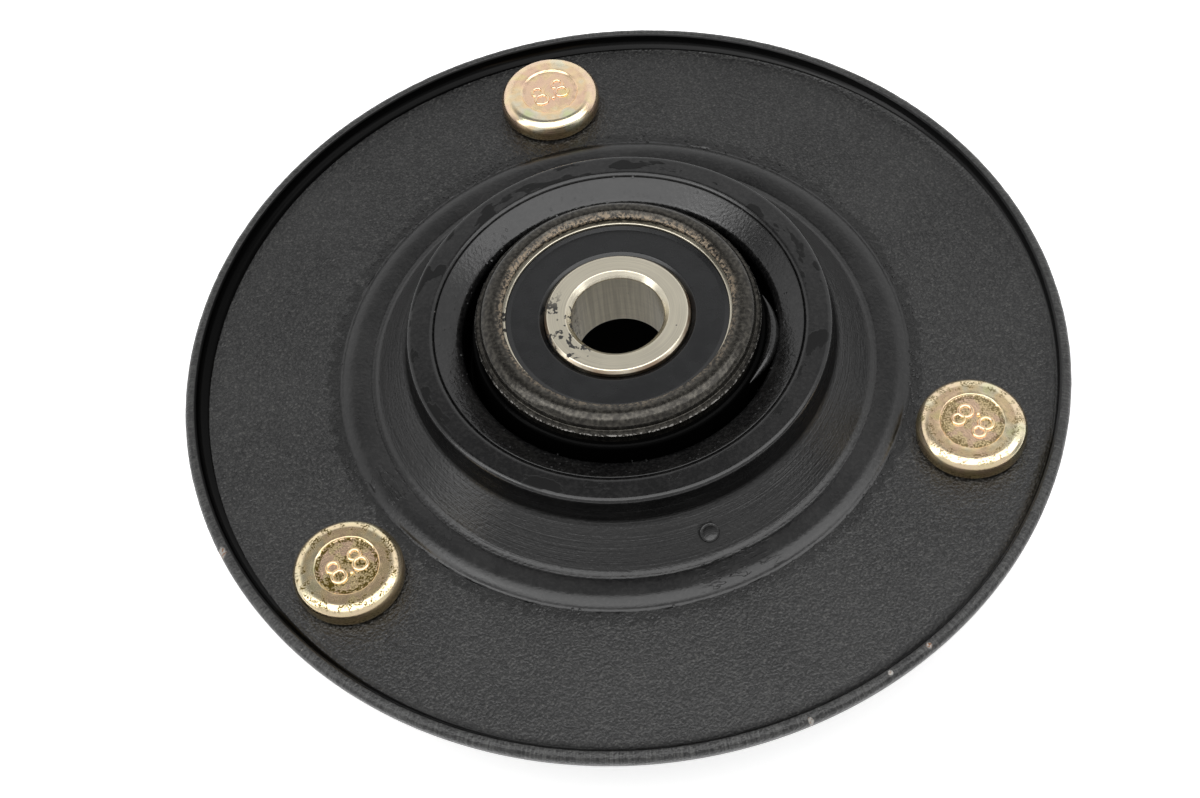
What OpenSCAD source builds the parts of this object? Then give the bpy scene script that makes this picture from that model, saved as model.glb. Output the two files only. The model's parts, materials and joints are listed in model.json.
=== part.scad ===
// Strut mount: a pressed flange plate carries three press-in studs and a bonded rubber bush,
// and the bush holds a crimped cup with a sealed deep groove ball bearing.
// The plate's mounting face lies at z = 0, the bearing's axis is the Z axis, and +Z points to
// the side of the stud heads. All lengths are in millimetres, all angles in degrees.

/* [Flange plate] */
// Outside diameter over the turned-up rim
plate_d = 146; // [140:1:160]
// Thickness of the pressed sheet
plate_t = 2; // [1.6:0.1:2.6]
// Height of the rim above the plate's front face
rim_h = 2.2; // [1.6:0.1:6]
// Bend radius inside the rim
rim_bend_r = 1; // [0.6:0.1:1.4]
// Chamfer on the sheared edge of the rim
rim_edge = 0.25; // [0.1:0.05:0.4]
// Outside diameter of the drawn collar under the rubber
collar_d = 66.6; // [65:0.2:70]
// Height of the collar above the plate's front face
collar_h = 9.8; // [8.6:0.1:12]
// Bend radius at the collar's foot, on the front side
collar_bend_r = 5; // [4:0.5:6]

/* [Studs] */
// Number of studs
stud_count = 3; // [3:1:5]
// Distance from the plate's edge in to a stud's axis
stud_inset = 14.7; // [13:0.1:16]
// Thread diameter of a stud
stud_d = 8; // [6:1:10]
// Length of a stud below the mounting face
stud_len = 25; // [18:1:40]
// Chamfer at the tip of a stud
stud_tip = 1; // [0.5:0.1:1.5]
// Extra diameter of the splined neck that is pressed into the plate
stud_neck = 1.2; // [0.6:0.1:2]
// Diameter of the head
head_d = 17.6; // [16:0.2:19]
// Height of the head
head_h = 3.9; // [3.6:0.1:5]
// Radius round the top edge of the head
head_edge_r = 1.9; // [1.2:0.1:2.2]
// Radius round the lower edge of the head
head_foot_r = 0.9; // [0.5:0.1:1.2]
// Diameter of the shallow recess in the head
recess_d = 9.8; // [6:0.2:11]
// Depth of the recess
recess_h = 0.25; // [0.1:0.05:0.6]

/* [Bearing] */
// Bore of the inner ring
bearing_bore = 15; // [12:1:16]
// Outside diameter of the outer ring
bearing_od = 42; // [41:1:44]
// Width of both rings
bearing_w = 13; // [12.8:0.2:15]
// Chamfer at the ends of the bore
bore_chamfer = 1; // [0.5:0.1:1.2]
// Chamfer round the outside of the outer ring
od_chamfer = 1; // [0.6:0.1:1.2]
// Chamfer round the outside of the inner ring
land_chamfer = 0.5; // [0.3:0.1:0.7]
// Number of balls
ball_count = 7; // [5:1:7]
// Diameter of a ball
ball_d = 7.938; // [7.5:0.02:8]
// Distance from the pitch circle in to the inner ring's shoulder
inner_shoulder = 2.4; // [2.2:0.1:2.8]
// Distance from the pitch circle out to the outer ring's shoulder
outer_shoulder = 2.6; // [2.4:0.1:3]
// Width of the outer ring's end faces
outer_face_w = 2.9; // [2.7:0.1:3.1]
// Depth of the end pocket that takes a seal
seal_pocket = 1.5; // [1.3:0.1:1.6]
// Thickness of a seal
seal_t = 0.6; // [0.5:0.1:0.7]
// Depth of a seal's outer face below the ring faces
seal_set = 0.7; // [0.6:0.05:0.8]
// Depth of the groove in the outer ring that holds the seal's bead
bead_groove = 0.3; // [0.2:0.05:0.4]
// Width of the sloping sealing lip
seal_lip_w = 0.8; // [0.6:0.1:1]
// Thickness of the cage's sheet
cage_t = 0.7; // [0.5:0.05:0.8]
// Radial width of the cage's ribbon
cage_w = 2.8; // [2.4:0.1:3]
// Diameter of a cage rivet's shank
rivet_d = 1.1; // [0.8:0.1:1.2]
// Diameter of a cage rivet's heads
rivet_head_d = 1.9; // [1.6:0.1:2]
// Height of a cage rivet's heads
rivet_head_h = 0.4; // [0.3:0.05:0.5]

/* [Bearing cup] */
// Thickness of the cup's sheet
cup_t = 1.8; // [1.4:0.1:2]
// Height of the cup's back face above the mounting face
cup_back = 0.5; // [0:0.1:1.5]
// Diameter of the hole in the cup's floor
cup_hole_d = 31; // [30:0.5:34]
// Bend radius inside the cup's floor
cup_bend_r = 0.8; // [0.5:0.1:0.9]
// Reach of the crimped lip over the bearing
lip_reach = 2.5; // [2.2:0.1:2.8]
// Height of the lip's crest above the bearing's face
lip_h = 1.6; // [1.3:0.1:1.8]
// Fall from the crest to the lip's inner edge
lip_fall = 0.4; // [0.2:0.05:0.5]
// Distance of the crimping ledge below the bearing's face
ledge_drop = 0.45; // [0.3:0.05:0.6]
// Height of the ledge's sloping edge
ledge_h = 0.55; // [0.4:0.05:0.7]
// Width of the ledge inside the cup's wall
ledge_w = 0.45; // [0.3:0.05:0.6]
// Overhang of the burr outside the cup's wall
burr_w = 0.35; // [0.2:0.05:0.5]

/* [Rubber bush] */
// Thickness of the rubber on both sides of the collar
skin_t = 1.1; // [0.8:0.1:1.6]
// Thickness of the rubber on top of the collar
cap_t = 1.7; // [1.2:0.1:2.4]
// Radius round the raised ring's outer edge
ring_edge_r = 0.8; // [0.5:0.1:1.1]
// Radius round the raised ring's inner edge
mouth_edge_r = 1; // [0.8:0.1:1.4]
// Width of the crease inside the raised ring
crease_w = 0.3; // [0.2:0.05:0.5]
// Depth of the crease
crease_h = 0.3; // [0.2:0.05:0.5]
// Slope of the dished wall where it starts at the crease
dish_slope = 15; // [5:1:30]
// Slant of the raised ring's outer wall
ring_slant = 0.9; // [0.4:0.1:1.4]
// Run of the cone outside the raised ring
cone_run = 5.8; // [5:0.2:7]
// Rise of the cone above the plate
cone_rise = 6.6; // [5.6:0.2:7.2]
// Width of the flat bead on the plate
bead_w = 5.7; // [4:0.1:7]
// Distance from the bead's outer edge in to its crest
bead_lead = 2.1; // [1.6:0.1:2.6]
// Height of the bead's crest
bead_h = 0.9; // [0.8:0.1:1.4]
// Thickness of the rubber at the bead's outer edge
bead_edge = 0.25; // [0.15:0.05:0.4]
// Thickness of the rubber where the bead meets the cone
bead_foot = 0.55; // [0.4:0.05:0.7]
// Diameter of the moulding nib on the cone
nib_d = 3.2; // [2.6:0.1:4]
// Height of the nib above the cone
nib_h = 0.7; // [0.5:0.1:1.2]
// Width of the nib's rim
nib_rim = 0.4; // [0.2:0.1:0.6]
// Depth of the hollow inside the nib's rim
nib_dish = 0.3; // [0.2:0.05:0.4]
// Angle of the nib round the axis
nib_angle = 278; // [0:1:359]
// Height of the groove's bottom above the plate's front face
groove_floor = 1; // [0.4:0.1:3]
// Radius of the groove's bottom
groove_r = 0.6; // [0.4:0.1:0.9]
// Thickness of the rubber sleeve round the cup, at its top
sleeve_t = 1.1; // [0.8:0.1:1.3]
// Slant of the sleeve from top to bottom
sleeve_slant = 0.5; // [0.2:0.1:0.7]
// Height of the sleeve's top below the crimping ledge
sleeve_drop = 2; // [1.4:0.1:4]
// Radius round the sleeve's top
sleeve_edge_r = 0.8; // [0.5:0.1:0.8]
// Stand-off of the rubber behind the mounting face
back_h = 3; // [1.5:0.1:6]
// Diameter of the hole in the rubber behind the cup
back_hole_d = 35; // [33:0.5:37]
// Chamfer round that hole
back_chamfer = 1; // [0.5:0.1:1.4]
// Width of the slope round the back of the bush
back_slope = 6; // [4:0.5:7]

/* [Fits] */
// Radial gap between the bearing and its cup
bearing_fit = 0.03; // [0.01:0.01:0.1]
// Clearance of the rubber skirt round a stud's head
head_gap = 1; // [0.5:0.1:2]
// Radial gap between a stud's neck and its hole
stud_fit = 0.02; // [0.01:0.01:0.1]
// Gap between a ball and its races
race_gap = 0.05; // [0.02:0.01:0.1]
// Gap between a ball and its cage pocket
pocket_gap = 0.13; // [0.08:0.01:0.2]
// Radial gap between a seal's bead and its groove
bead_fit = 0.05; // [0.02:0.01:0.1]
// Radial gap between a seal's lip and the inner ring
seal_gap = 0.1; // [0.06:0.01:0.2]
// Radial gap between a rivet and its holes
rivet_fit = 0.02; // [0.01:0.01:0.05]

/* [Hidden] */
$fn = 96;

// Small overlap that joins neighbouring strips of one section
join = 0.01;
// Flange plate
plate_r = plate_d / 2;
rim_in = plate_r - plate_t;
collar_ro = collar_d / 2;
collar_ri = collar_ro - plate_t;
collar_foot = collar_ro + collar_bend_r;
collar_bend_z = plate_t + collar_bend_r;
collar_top = plate_t + collar_h;
// Studs
stud_pitch_r = plate_r - stud_inset;
head_r = head_d / 2;
neck_r = (stud_d + stud_neck) / 2;
// Bearing
pitch_r = (bearing_bore + bearing_od) / 4;
ball_r = ball_d / 2;
race_r = ball_r + race_gap;
bearing_z = cup_back + cup_t;
bearing_face = bearing_z + bearing_w;
mid_z = bearing_z + bearing_w / 2;
half_w = bearing_w / 2;
inner_land = pitch_r - inner_shoulder;
outer_land = pitch_r + outer_shoulder;
seal_seat = bearing_od / 2 - outer_face_w;
groove_seat = seal_seat + bead_groove;
pocket_h = half_w - seal_pocket;
seal_top = half_w - seal_set;
seal_bead = groove_seat - bead_fit;
lip_root = inner_land + seal_gap + seal_lip_w;
ball_pitch = 360 / ball_count;
pocket_ri = ball_r + pocket_gap;
pocket_ro = pocket_ri + cage_t;
// Bearing cup
cup_ri = bearing_od / 2 + bearing_fit;
cup_ro = cup_ri + cup_t;
cup_mid = cup_ri + cup_t / 2;
ledge_z = bearing_face - ledge_drop - ledge_h;
lip_seat = bearing_face + bearing_fit;
lip_edge = bearing_od / 2 - lip_reach;
lip_crest = bearing_face + lip_h;
lip_foot_r = cup_ro - ledge_w;
lip_foot_z = ledge_z + ledge_h;
lip_round = lip_crest - lip_foot_z;
lip_centre = [lip_foot_r - lip_round, lip_foot_z];
// Rubber bush
ring_ro = collar_ro + skin_t;
ring_ri = collar_ri - skin_t;
ring_top = collar_top + cap_t;
cone_top = [ring_ro + ring_slant, plate_t + cone_rise];
cone_foot = cone_top[0] + cone_run;
skirt_r = cone_foot + bead_w;
bead_crest = [skirt_r - bead_lead, plate_t + bead_h];
bead_run = bead_w - bead_lead;
bead_out_r = crown(bead_lead, bead_h - bead_edge);
bead_in_r = crown(bead_run, bead_h - bead_foot);
sleeve_top = ledge_z - sleeve_drop;
sleeve_ro = cup_ro + sleeve_t;
groove_in = sleeve_ro + sleeve_slant;
groove_out = groove_in + 2 * groove_r;
groove_centre = [groove_in + groove_r, plate_t + groove_floor + groove_r];
crease_z = ring_top - mouth_edge_r * (1 - cos(45));
dish_edge = ring_ri - crease_w;
dish_room = (dish_edge - groove_out) / (1 - sin(dish_slope));
dish_r = min(dish_room, (crease_z - groove_centre[1]) / cos(dish_slope));
dish_centre = [dish_edge + dish_r * sin(dish_slope), crease_z - dish_r * cos(dish_slope)];
sheet_mid = plate_t / 2;
back_edge = (collar_ro + collar_foot) / 2;

// Points along an arc of radius r about c, from angle a to angle b, starting with point number first
function arc(c, r, a, b, n = 8, first = 0) =
  [for (i = [first : n]) c + r * [cos(a + (b - a) * i / n), sin(a + (b - a) * i / n)]];

// Radius of an arc that falls by h over the run w from its crest
function crown(w, h) = (w * w + h * h) / (2 * h);

// Height of the collar bend's back surface at radius x
function bend_back(x) = collar_bend_z - sqrt(pow(collar_bend_r + plate_t, 2) - pow(collar_foot - x, 2));

// Quarter of a bent sheet about c: side is the sign of the quarter's x, below the centre
module quarter_bend(c, r_in, t, side) {
  r_out = r_in + t;
  translate(c)
    intersection() {
      difference() {
        circle(r_out);
        circle(r_in);
      }
      translate([side > 0 ? 0 : -r_out, -r_out])
        square(r_out);
    }
}

// Half section of the plate: rim, flat and collar
module plate_section() {
  rim_z = plate_t + rim_bend_r;
  rim_top = plate_t + rim_h;
  translate([collar_foot - join, 0])
    square([rim_in - rim_bend_r - collar_foot + 2 * join, plate_t]);
  quarter_bend([rim_in - rim_bend_r, rim_z], rim_bend_r, plate_t, 1);
  polygon([
    [rim_in, rim_z - join],
    [plate_r, rim_z - join],
    [plate_r, rim_top - rim_edge],
    [plate_r - rim_edge, rim_top],
    [rim_in + rim_edge, rim_top],
    [rim_in, rim_top - rim_edge],
  ]);
  quarter_bend([collar_foot, collar_bend_z], collar_bend_r, plate_t, -1);
  translate([collar_ri, collar_bend_z - join])
    square([plate_t, collar_top - collar_bend_z + join]);
}

// Half section of the cup: floor, bend, wall, crimping ledge and rolled lip
module cup_section() {
  bend_z = bearing_z + cup_bend_r;
  translate([cup_hole_d / 2, cup_back])
    square([cup_ri - cup_bend_r - cup_hole_d / 2 + join, cup_t]);
  quarter_bend([cup_ri - cup_bend_r, bend_z], cup_bend_r, cup_t, 1);
  polygon(concat(
    [[cup_ri, bend_z - join], [cup_ro, bend_z - join], [cup_ro, ledge_z - burr_w]],
    [[cup_ro + burr_w, ledge_z], [cup_ro, lip_foot_z]],
    arc(lip_centre, lip_round, 0, 90, 10),
    arc([lip_edge + lip_fall, lip_crest - 2 * lip_fall], lip_fall, 90, 180, 4),
    [[lip_edge, lip_seat]],
    [[cup_ri - od_chamfer, lip_seat], [cup_ri, lip_seat - od_chamfer]]
  ));
}

// Half section of the rubber before the sheets inside it are taken out
module rubber_outline() {
  polygon(concat(
    [[skirt_r, sheet_mid]],
    arc(bead_crest - [0, bead_out_r], bead_out_r, 90 - asin(bead_lead / bead_out_r), 90, 6),
    arc(bead_crest - [0, bead_in_r], bead_in_r, 90, 90 + asin(bead_run / bead_in_r), 6, 1),
    [cone_top],
    arc([ring_ro - ring_edge_r, ring_top - ring_edge_r], ring_edge_r, 0, 90, 6),
    arc([ring_ri + mouth_edge_r * cos(45), ring_top - mouth_edge_r], mouth_edge_r, 90, 135, 5),
    [[ring_ri - crease_w / 2, crease_z - crease_h]],
    arc(dish_centre, dish_r, 90 + dish_slope, 180, 12),
    arc(groove_centre, groove_r, 0, -180, 10),
    arc([sleeve_ro - sleeve_edge_r, sleeve_top - sleeve_edge_r], sleeve_edge_r, 0, 90, 5),
    [[cup_mid, sleeve_top], [cup_mid, bearing_z + cup_bend_r]],
    [[cup_ri - cup_bend_r, cup_back + cup_t / 2], [back_hole_d / 2, cup_back + cup_t / 2]],
    [[back_hole_d / 2, back_chamfer - back_h], [back_hole_d / 2 + back_chamfer, -back_h]],
    [[collar_ri - back_slope + skin_t, -back_h], [collar_ri + skin_t, 0]],
    [[back_edge, bend_back(back_edge) / 2], [back_edge, sheet_mid]]
  ));
}

// Turns the children over to the back of the bearing
module back_side() {
  translate([0, 0, mid_z])
    mirror([0, 0, 1])
      children();
}

// Puts the children in the middle of the bearing's front half
module front_side() {
  translate([0, 0, mid_z])
    children();
}

// Places the children round the pitch circle, turned by the angle shift
module round_pitch(shift) {
  for (i = [0 : ball_count - 1])
    rotate(i * ball_pitch + shift)
      translate([pitch_r, 0, 0])
        children();
}

// Places the children on the axis of each stud
module round_studs() {
  for (i = [0 : stud_count - 1])
    rotate(90 + i * 360 / stud_count)
      translate([stud_pitch_r, 0, 0])
        children();
}

// Pressed plate with its rim, its collar and the holes for the studs
module flange_plate() {
  color("#2b2c2e")
    difference() {
      rotate_extrude()
        plate_section();
      round_studs()
        translate([0, 0, -plate_t])
          cylinder(r = neck_r + stud_fit, h = 3 * plate_t);
    }
}

// Round nib left by the mould on the cone, with a hollow inside its rim
module moulding_nib() {
  cone_z = plate_t + bead_foot;
  rise = cone_top[1] - cone_z;
  hollow_r = crown(nib_d / 2 - nib_rim, nib_dish);
  rotate(nib_angle)
    translate([cone_top[0] + cone_run / 2, 0, cone_z + rise / 2])
      rotate([0, atan(rise / cone_run), 0])
        difference() {
          translate([0, 0, -nib_d / 3])
            cylinder(d = nib_d, h = nib_h + nib_d / 3);
          translate([0, 0, nib_h + hollow_r - nib_dish])
            sphere(hollow_r);
        }
}

// Rubber moulded over the collar and round the cup, kept clear of the stud heads
module rubber_bush() {
  color("#1c1c1e")
    difference() {
      union() {
        rotate_extrude()
          difference() {
            rubber_outline();
            plate_section();
            cup_section();
          }
        moulding_nib();
      }
      round_studs()
        translate([0, 0, plate_t])
          cylinder(r = head_r + head_gap, h = head_h);
    }
}

// Drawn cup, crimped over the bearing
module bearing_cup() {
  color("#3a332b")
    rotate_extrude()
      cup_section();
}

// Profile of one stud: rounded head with a shallow recess, pressed neck, shank and tip
module stud_profile() {
  head_top = plate_t + head_h;
  polygon(concat(
    [[0, -stud_len], [stud_d / 2 - stud_tip, -stud_len], [stud_d / 2, stud_tip - stud_len]],
    [[stud_d / 2, 0], [neck_r, 0], [neck_r, plate_t]],
    arc([head_r - head_foot_r, plate_t + head_foot_r], head_foot_r, -90, 0, 5),
    arc([head_r - head_edge_r, head_top - head_edge_r], head_edge_r, 0, 90, 8),
    [[recess_d / 2 + recess_h, head_top], [recess_d / 2, head_top - recess_h]],
    [[0, head_top - recess_h]]
  ));
}

// Press-in studs, evenly spaced round the plate
module mounting_studs() {
  color("#b8a04c")
    round_studs()
      rotate_extrude()
        stud_profile();
}

// Section of a ring turned on the pitch circle: points is its front half, and the race is cut out
module ring_section(points) {
  last = len(points) - 1;
  difference() {
    polygon(concat(points, [for (i = [0 : last]) [points[last - i][0], -points[last - i][1]]]));
    translate([pitch_r, 0])
      circle(race_r);
  }
}

// Outer ring with its ball race and a pocket for a seal at each end
module outer_ring() {
  od_r = bearing_od / 2;
  color("#c9c6bf")
    front_side()
      rotate_extrude()
        ring_section([
          [outer_land, pocket_h],
          [groove_seat, pocket_h],
          [groove_seat, seal_top],
          [seal_seat, seal_top + bead_groove],
          [seal_seat, half_w],
          [od_r - od_chamfer, half_w],
          [od_r, half_w - od_chamfer],
        ]);
}

// Inner ring with its ball race and the bore for the rod
module inner_ring() {
  bore_r = bearing_bore / 2;
  color("#cfc8bb")
    front_side()
      rotate_extrude()
        ring_section([
          [bore_r, half_w - bore_chamfer],
          [bore_r + bore_chamfer, half_w],
          [inner_land - land_chamfer, half_w],
          [inner_land, half_w - land_chamfer],
        ]);
}

// Seal: a bead in the outer ring's groove, a flat web and a lip at the inner ring
module seal() {
  lip_r = inner_land + seal_gap;
  web_in = seal_top - seal_t;
  rotate_extrude()
    polygon([
      [lip_r, web_in - seal_t],
      [lip_r + seal_lip_w / 2, web_in - seal_t],
      [lip_root, web_in],
      [seal_bead - seal_lip_w, web_in],
      [seal_bead - seal_lip_w / 2, pocket_h + bead_fit],
      [seal_bead, pocket_h + bead_fit],
      [seal_bead, seal_top - bead_fit],
      [seal_seat - bead_fit, seal_top + bead_groove - 2 * bead_fit],
      [seal_seat - seal_lip_w, seal_top],
      [lip_root, seal_top],
      [lip_r, web_in],
    ]);
}

module seal_front() {
  color("#26282d")
    front_side()
      seal();
}

module seal_back() {
  color("#26282d")
    back_side()
      seal();
}

// Half of the ribbon cage: flat lands between spherical pockets
module cage_half() {
  ribbon_ri = pitch_r - cage_w / 2;
  ribbon_ro = pitch_r + cage_w / 2;
  difference() {
    intersection() {
      difference() {
        cylinder(r = ribbon_ro, h = pocket_ro + cage_t);
        translate([0, 0, -cage_t])
          cylinder(r = ribbon_ri, h = pocket_ro + 3 * cage_t);
      }
      union() {
        cylinder(r = ribbon_ro + cage_t, h = cage_t);
        round_pitch(0)
          sphere(pocket_ro);
      }
    }
    round_pitch(0)
      sphere(pocket_ri);
    round_pitch(ball_pitch / 2)
      translate([0, 0, -cage_t])
        cylinder(d = rivet_d + 2 * rivet_fit, h = 3 * cage_t);
  }
}

module cage_front() {
  color("#b9b3a6")
    front_side()
      cage_half();
}

module cage_back() {
  color("#b9b3a6")
    back_side()
      cage_half();
}

// Rivet with a flat-coned head on each side of the cage
module cage_rivet() {
  rivet_head_r = rivet_head_d / 2;
  cylinder(d = rivet_d, h = 2 * cage_t, center = true);
  for (side = [0, 1])
    mirror([0, 0, side])
      translate([0, 0, cage_t])
        cylinder(r1 = rivet_head_r, r2 = rivet_head_r - rivet_head_h, h = rivet_head_h);
}

module cage_rivets() {
  color("#a9a498")
    front_side()
      round_pitch(ball_pitch / 2)
        cage_rivet();
}

// Ball number i, counted round the pitch circle
module ball(i) {
  color("#d6d7da")
    front_side()
      rotate((i - 1) * ball_pitch)
        translate([pitch_r, 0, 0])
          sphere(ball_r);
}

flange_plate();
rubber_bush();
bearing_cup();
mounting_studs();
outer_ring();
inner_ring();
seal_front();
seal_back();
cage_front();
cage_back();
cage_rivets();
for (i = [1 : ball_count])
  ball(i);
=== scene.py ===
"""Looks of a strut mount: a pressed plate, a bonded rubber bush, a crimped ball bearing and three studs."""
import json
import logging
import math
from collections.abc import Mapping, Sequence
from dataclasses import dataclass, field
from enum import Enum
from typing import Any, Union

import bpy
from mathutils import Matrix, Vector


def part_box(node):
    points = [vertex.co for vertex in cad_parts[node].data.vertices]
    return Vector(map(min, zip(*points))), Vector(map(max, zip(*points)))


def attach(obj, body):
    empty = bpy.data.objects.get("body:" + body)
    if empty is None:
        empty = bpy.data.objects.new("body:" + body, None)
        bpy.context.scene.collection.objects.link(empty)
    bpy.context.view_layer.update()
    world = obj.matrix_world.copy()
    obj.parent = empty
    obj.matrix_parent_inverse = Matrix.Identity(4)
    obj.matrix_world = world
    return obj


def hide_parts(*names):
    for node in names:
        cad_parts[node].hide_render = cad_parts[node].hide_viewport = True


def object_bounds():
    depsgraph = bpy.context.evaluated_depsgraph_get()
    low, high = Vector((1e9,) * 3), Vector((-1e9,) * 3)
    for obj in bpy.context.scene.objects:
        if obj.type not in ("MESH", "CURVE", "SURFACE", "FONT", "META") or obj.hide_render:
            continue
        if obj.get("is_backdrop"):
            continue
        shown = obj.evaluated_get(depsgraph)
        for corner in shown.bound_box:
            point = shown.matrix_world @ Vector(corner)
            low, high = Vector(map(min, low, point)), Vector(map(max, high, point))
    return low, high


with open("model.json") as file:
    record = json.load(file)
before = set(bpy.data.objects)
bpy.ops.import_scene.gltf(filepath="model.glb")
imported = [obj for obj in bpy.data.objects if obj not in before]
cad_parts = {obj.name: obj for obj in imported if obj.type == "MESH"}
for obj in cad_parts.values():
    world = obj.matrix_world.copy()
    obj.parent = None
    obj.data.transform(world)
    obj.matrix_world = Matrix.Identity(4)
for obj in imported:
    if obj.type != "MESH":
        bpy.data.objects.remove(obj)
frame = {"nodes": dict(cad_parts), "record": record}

LOG = logging.getLogger("strut_mount")
MM = 0.001
WELD = 1e-6
CREASE = math.radians(38.0)

Colour = tuple[float, float, float]
Operand = Union["Socket", float]

# Black that takes no light, mixed in to paint shade.
PAINTED_SHADE_BLACK: Colour = (0.0012, 0.0012, 0.0012)


class Body(str, Enum):
    """Bodies of the part that the new pieces ride on."""

    MOUNT = "mount"
    ROD_RING = "rod_ring"


class Slot(str, Enum):
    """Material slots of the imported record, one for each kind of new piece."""

    PAINT = "black_paint"
    RUBBER = "moulded_rubber"
    CUP = "cup_steel"
    ZINC = "yellow_zinc"
    RING = "ring_steel"
    SEAL = "seal_rubber"


class Socket:
    """An output of a node. Arithmetic on it adds Math nodes to its tree."""

    def __init__(self, tree: "NodeTree", port: bpy.types.NodeSocket) -> None:
        """Keep the tree and the port that later nodes link from."""
        self.tree = tree
        self.port = port

    def math(self, operation: str, *values: Operand) -> "Socket":
        """Add one Math node.

        Args:
            operation: Name of the Math node's operation.
            *values: Operands in the node's order.

        Returns:
            The node's result.
        """
        return self.tree.add("ShaderNodeMath", {"operation": operation}, dict(enumerate(values)))["Value"]

    def __add__(self, other: Operand) -> "Socket":
        """Sum of the two."""
        return self.math("ADD", self, other)

    def __radd__(self, other: Operand) -> "Socket":
        """Sum of the two."""
        return self.math("ADD", other, self)

    def __sub__(self, other: Operand) -> "Socket":
        """This less the other."""
        return self.math("SUBTRACT", self, other)

    def __rsub__(self, other: Operand) -> "Socket":
        """The other less this."""
        return self.math("SUBTRACT", other, self)

    def __mul__(self, other: Operand) -> "Socket":
        """Product of the two."""
        return self.math("MULTIPLY", self, other)

    def __rmul__(self, other: Operand) -> "Socket":
        """Product of the two."""
        return self.math("MULTIPLY", other, self)

    def __truediv__(self, other: Operand) -> "Socket":
        """This over the other."""
        return self.math("DIVIDE", self, other)

    def __rtruediv__(self, other: Operand) -> "Socket":
        """The other over this."""
        return self.math("DIVIDE", other, self)

    def __mod__(self, other: Operand) -> "Socket":
        """Remainder, never negative."""
        return self.math("FLOORED_MODULO", self, other)

    def __pow__(self, other: Operand) -> "Socket":
        """This to the power of the other."""
        return self.math("POWER", self, other)

    def floor(self) -> "Socket":
        """Largest whole number that is not above this."""
        return self.math("FLOOR", self)

    def sin(self) -> "Socket":
        """Sine of this angle in radians."""
        return self.math("SINE", self)

    def cos(self) -> "Socket":
        """Cosine of this angle in radians."""
        return self.math("COSINE", self)

    def least(self, other: Operand) -> "Socket":
        """Smaller of the two."""
        return self.math("MINIMUM", self, other)

    def most(self, other: Operand) -> "Socket":
        """Larger of the two."""
        return self.math("MAXIMUM", self, other)

    def above(self, limit: Operand) -> "Socket":
        """One where this is above the limit, else zero."""
        return self.math("GREATER_THAN", self, limit)

    def rise(self, start: float, end: float) -> "Socket":
        """Smooth step from zero at start to one at end, which may lie below start.

        Args:
            start: Value at which the step is zero.
            end: Value at which the step is one.

        Returns:
            The step, from zero to one.
        """
        low, high = (start, end) if start < end else (end, start)
        ends = {"To Min": 0.0, "To Max": 1.0} if start < end else {"To Min": 1.0, "To Max": 0.0}
        settings = {"interpolation_type": "SMOOTHSTEP"}
        inputs = {"Value": self, "From Min": low, "From Max": high, **ends}
        return self.tree.add("ShaderNodeMapRange", settings, inputs)["Result"]

    def band(self, low: float, high: float, soft: float) -> "Socket":
        """One between low and high, falling to zero over the width soft outside them."""
        return self.rise(low - soft, low) * self.rise(high + soft, high)


class Node:
    """A node whose outputs are read by name, identifier or number."""

    def __init__(self, tree: "NodeTree", node: bpy.types.Node) -> None:
        """Keep the tree and the node."""
        self.tree = tree
        self.node = node

    def __getitem__(self, key: Union[str, int]) -> Socket:
        """Output with that identifier, name or number."""
        return Socket(self.tree, NodeTree.port(self.node.outputs, key))


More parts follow.
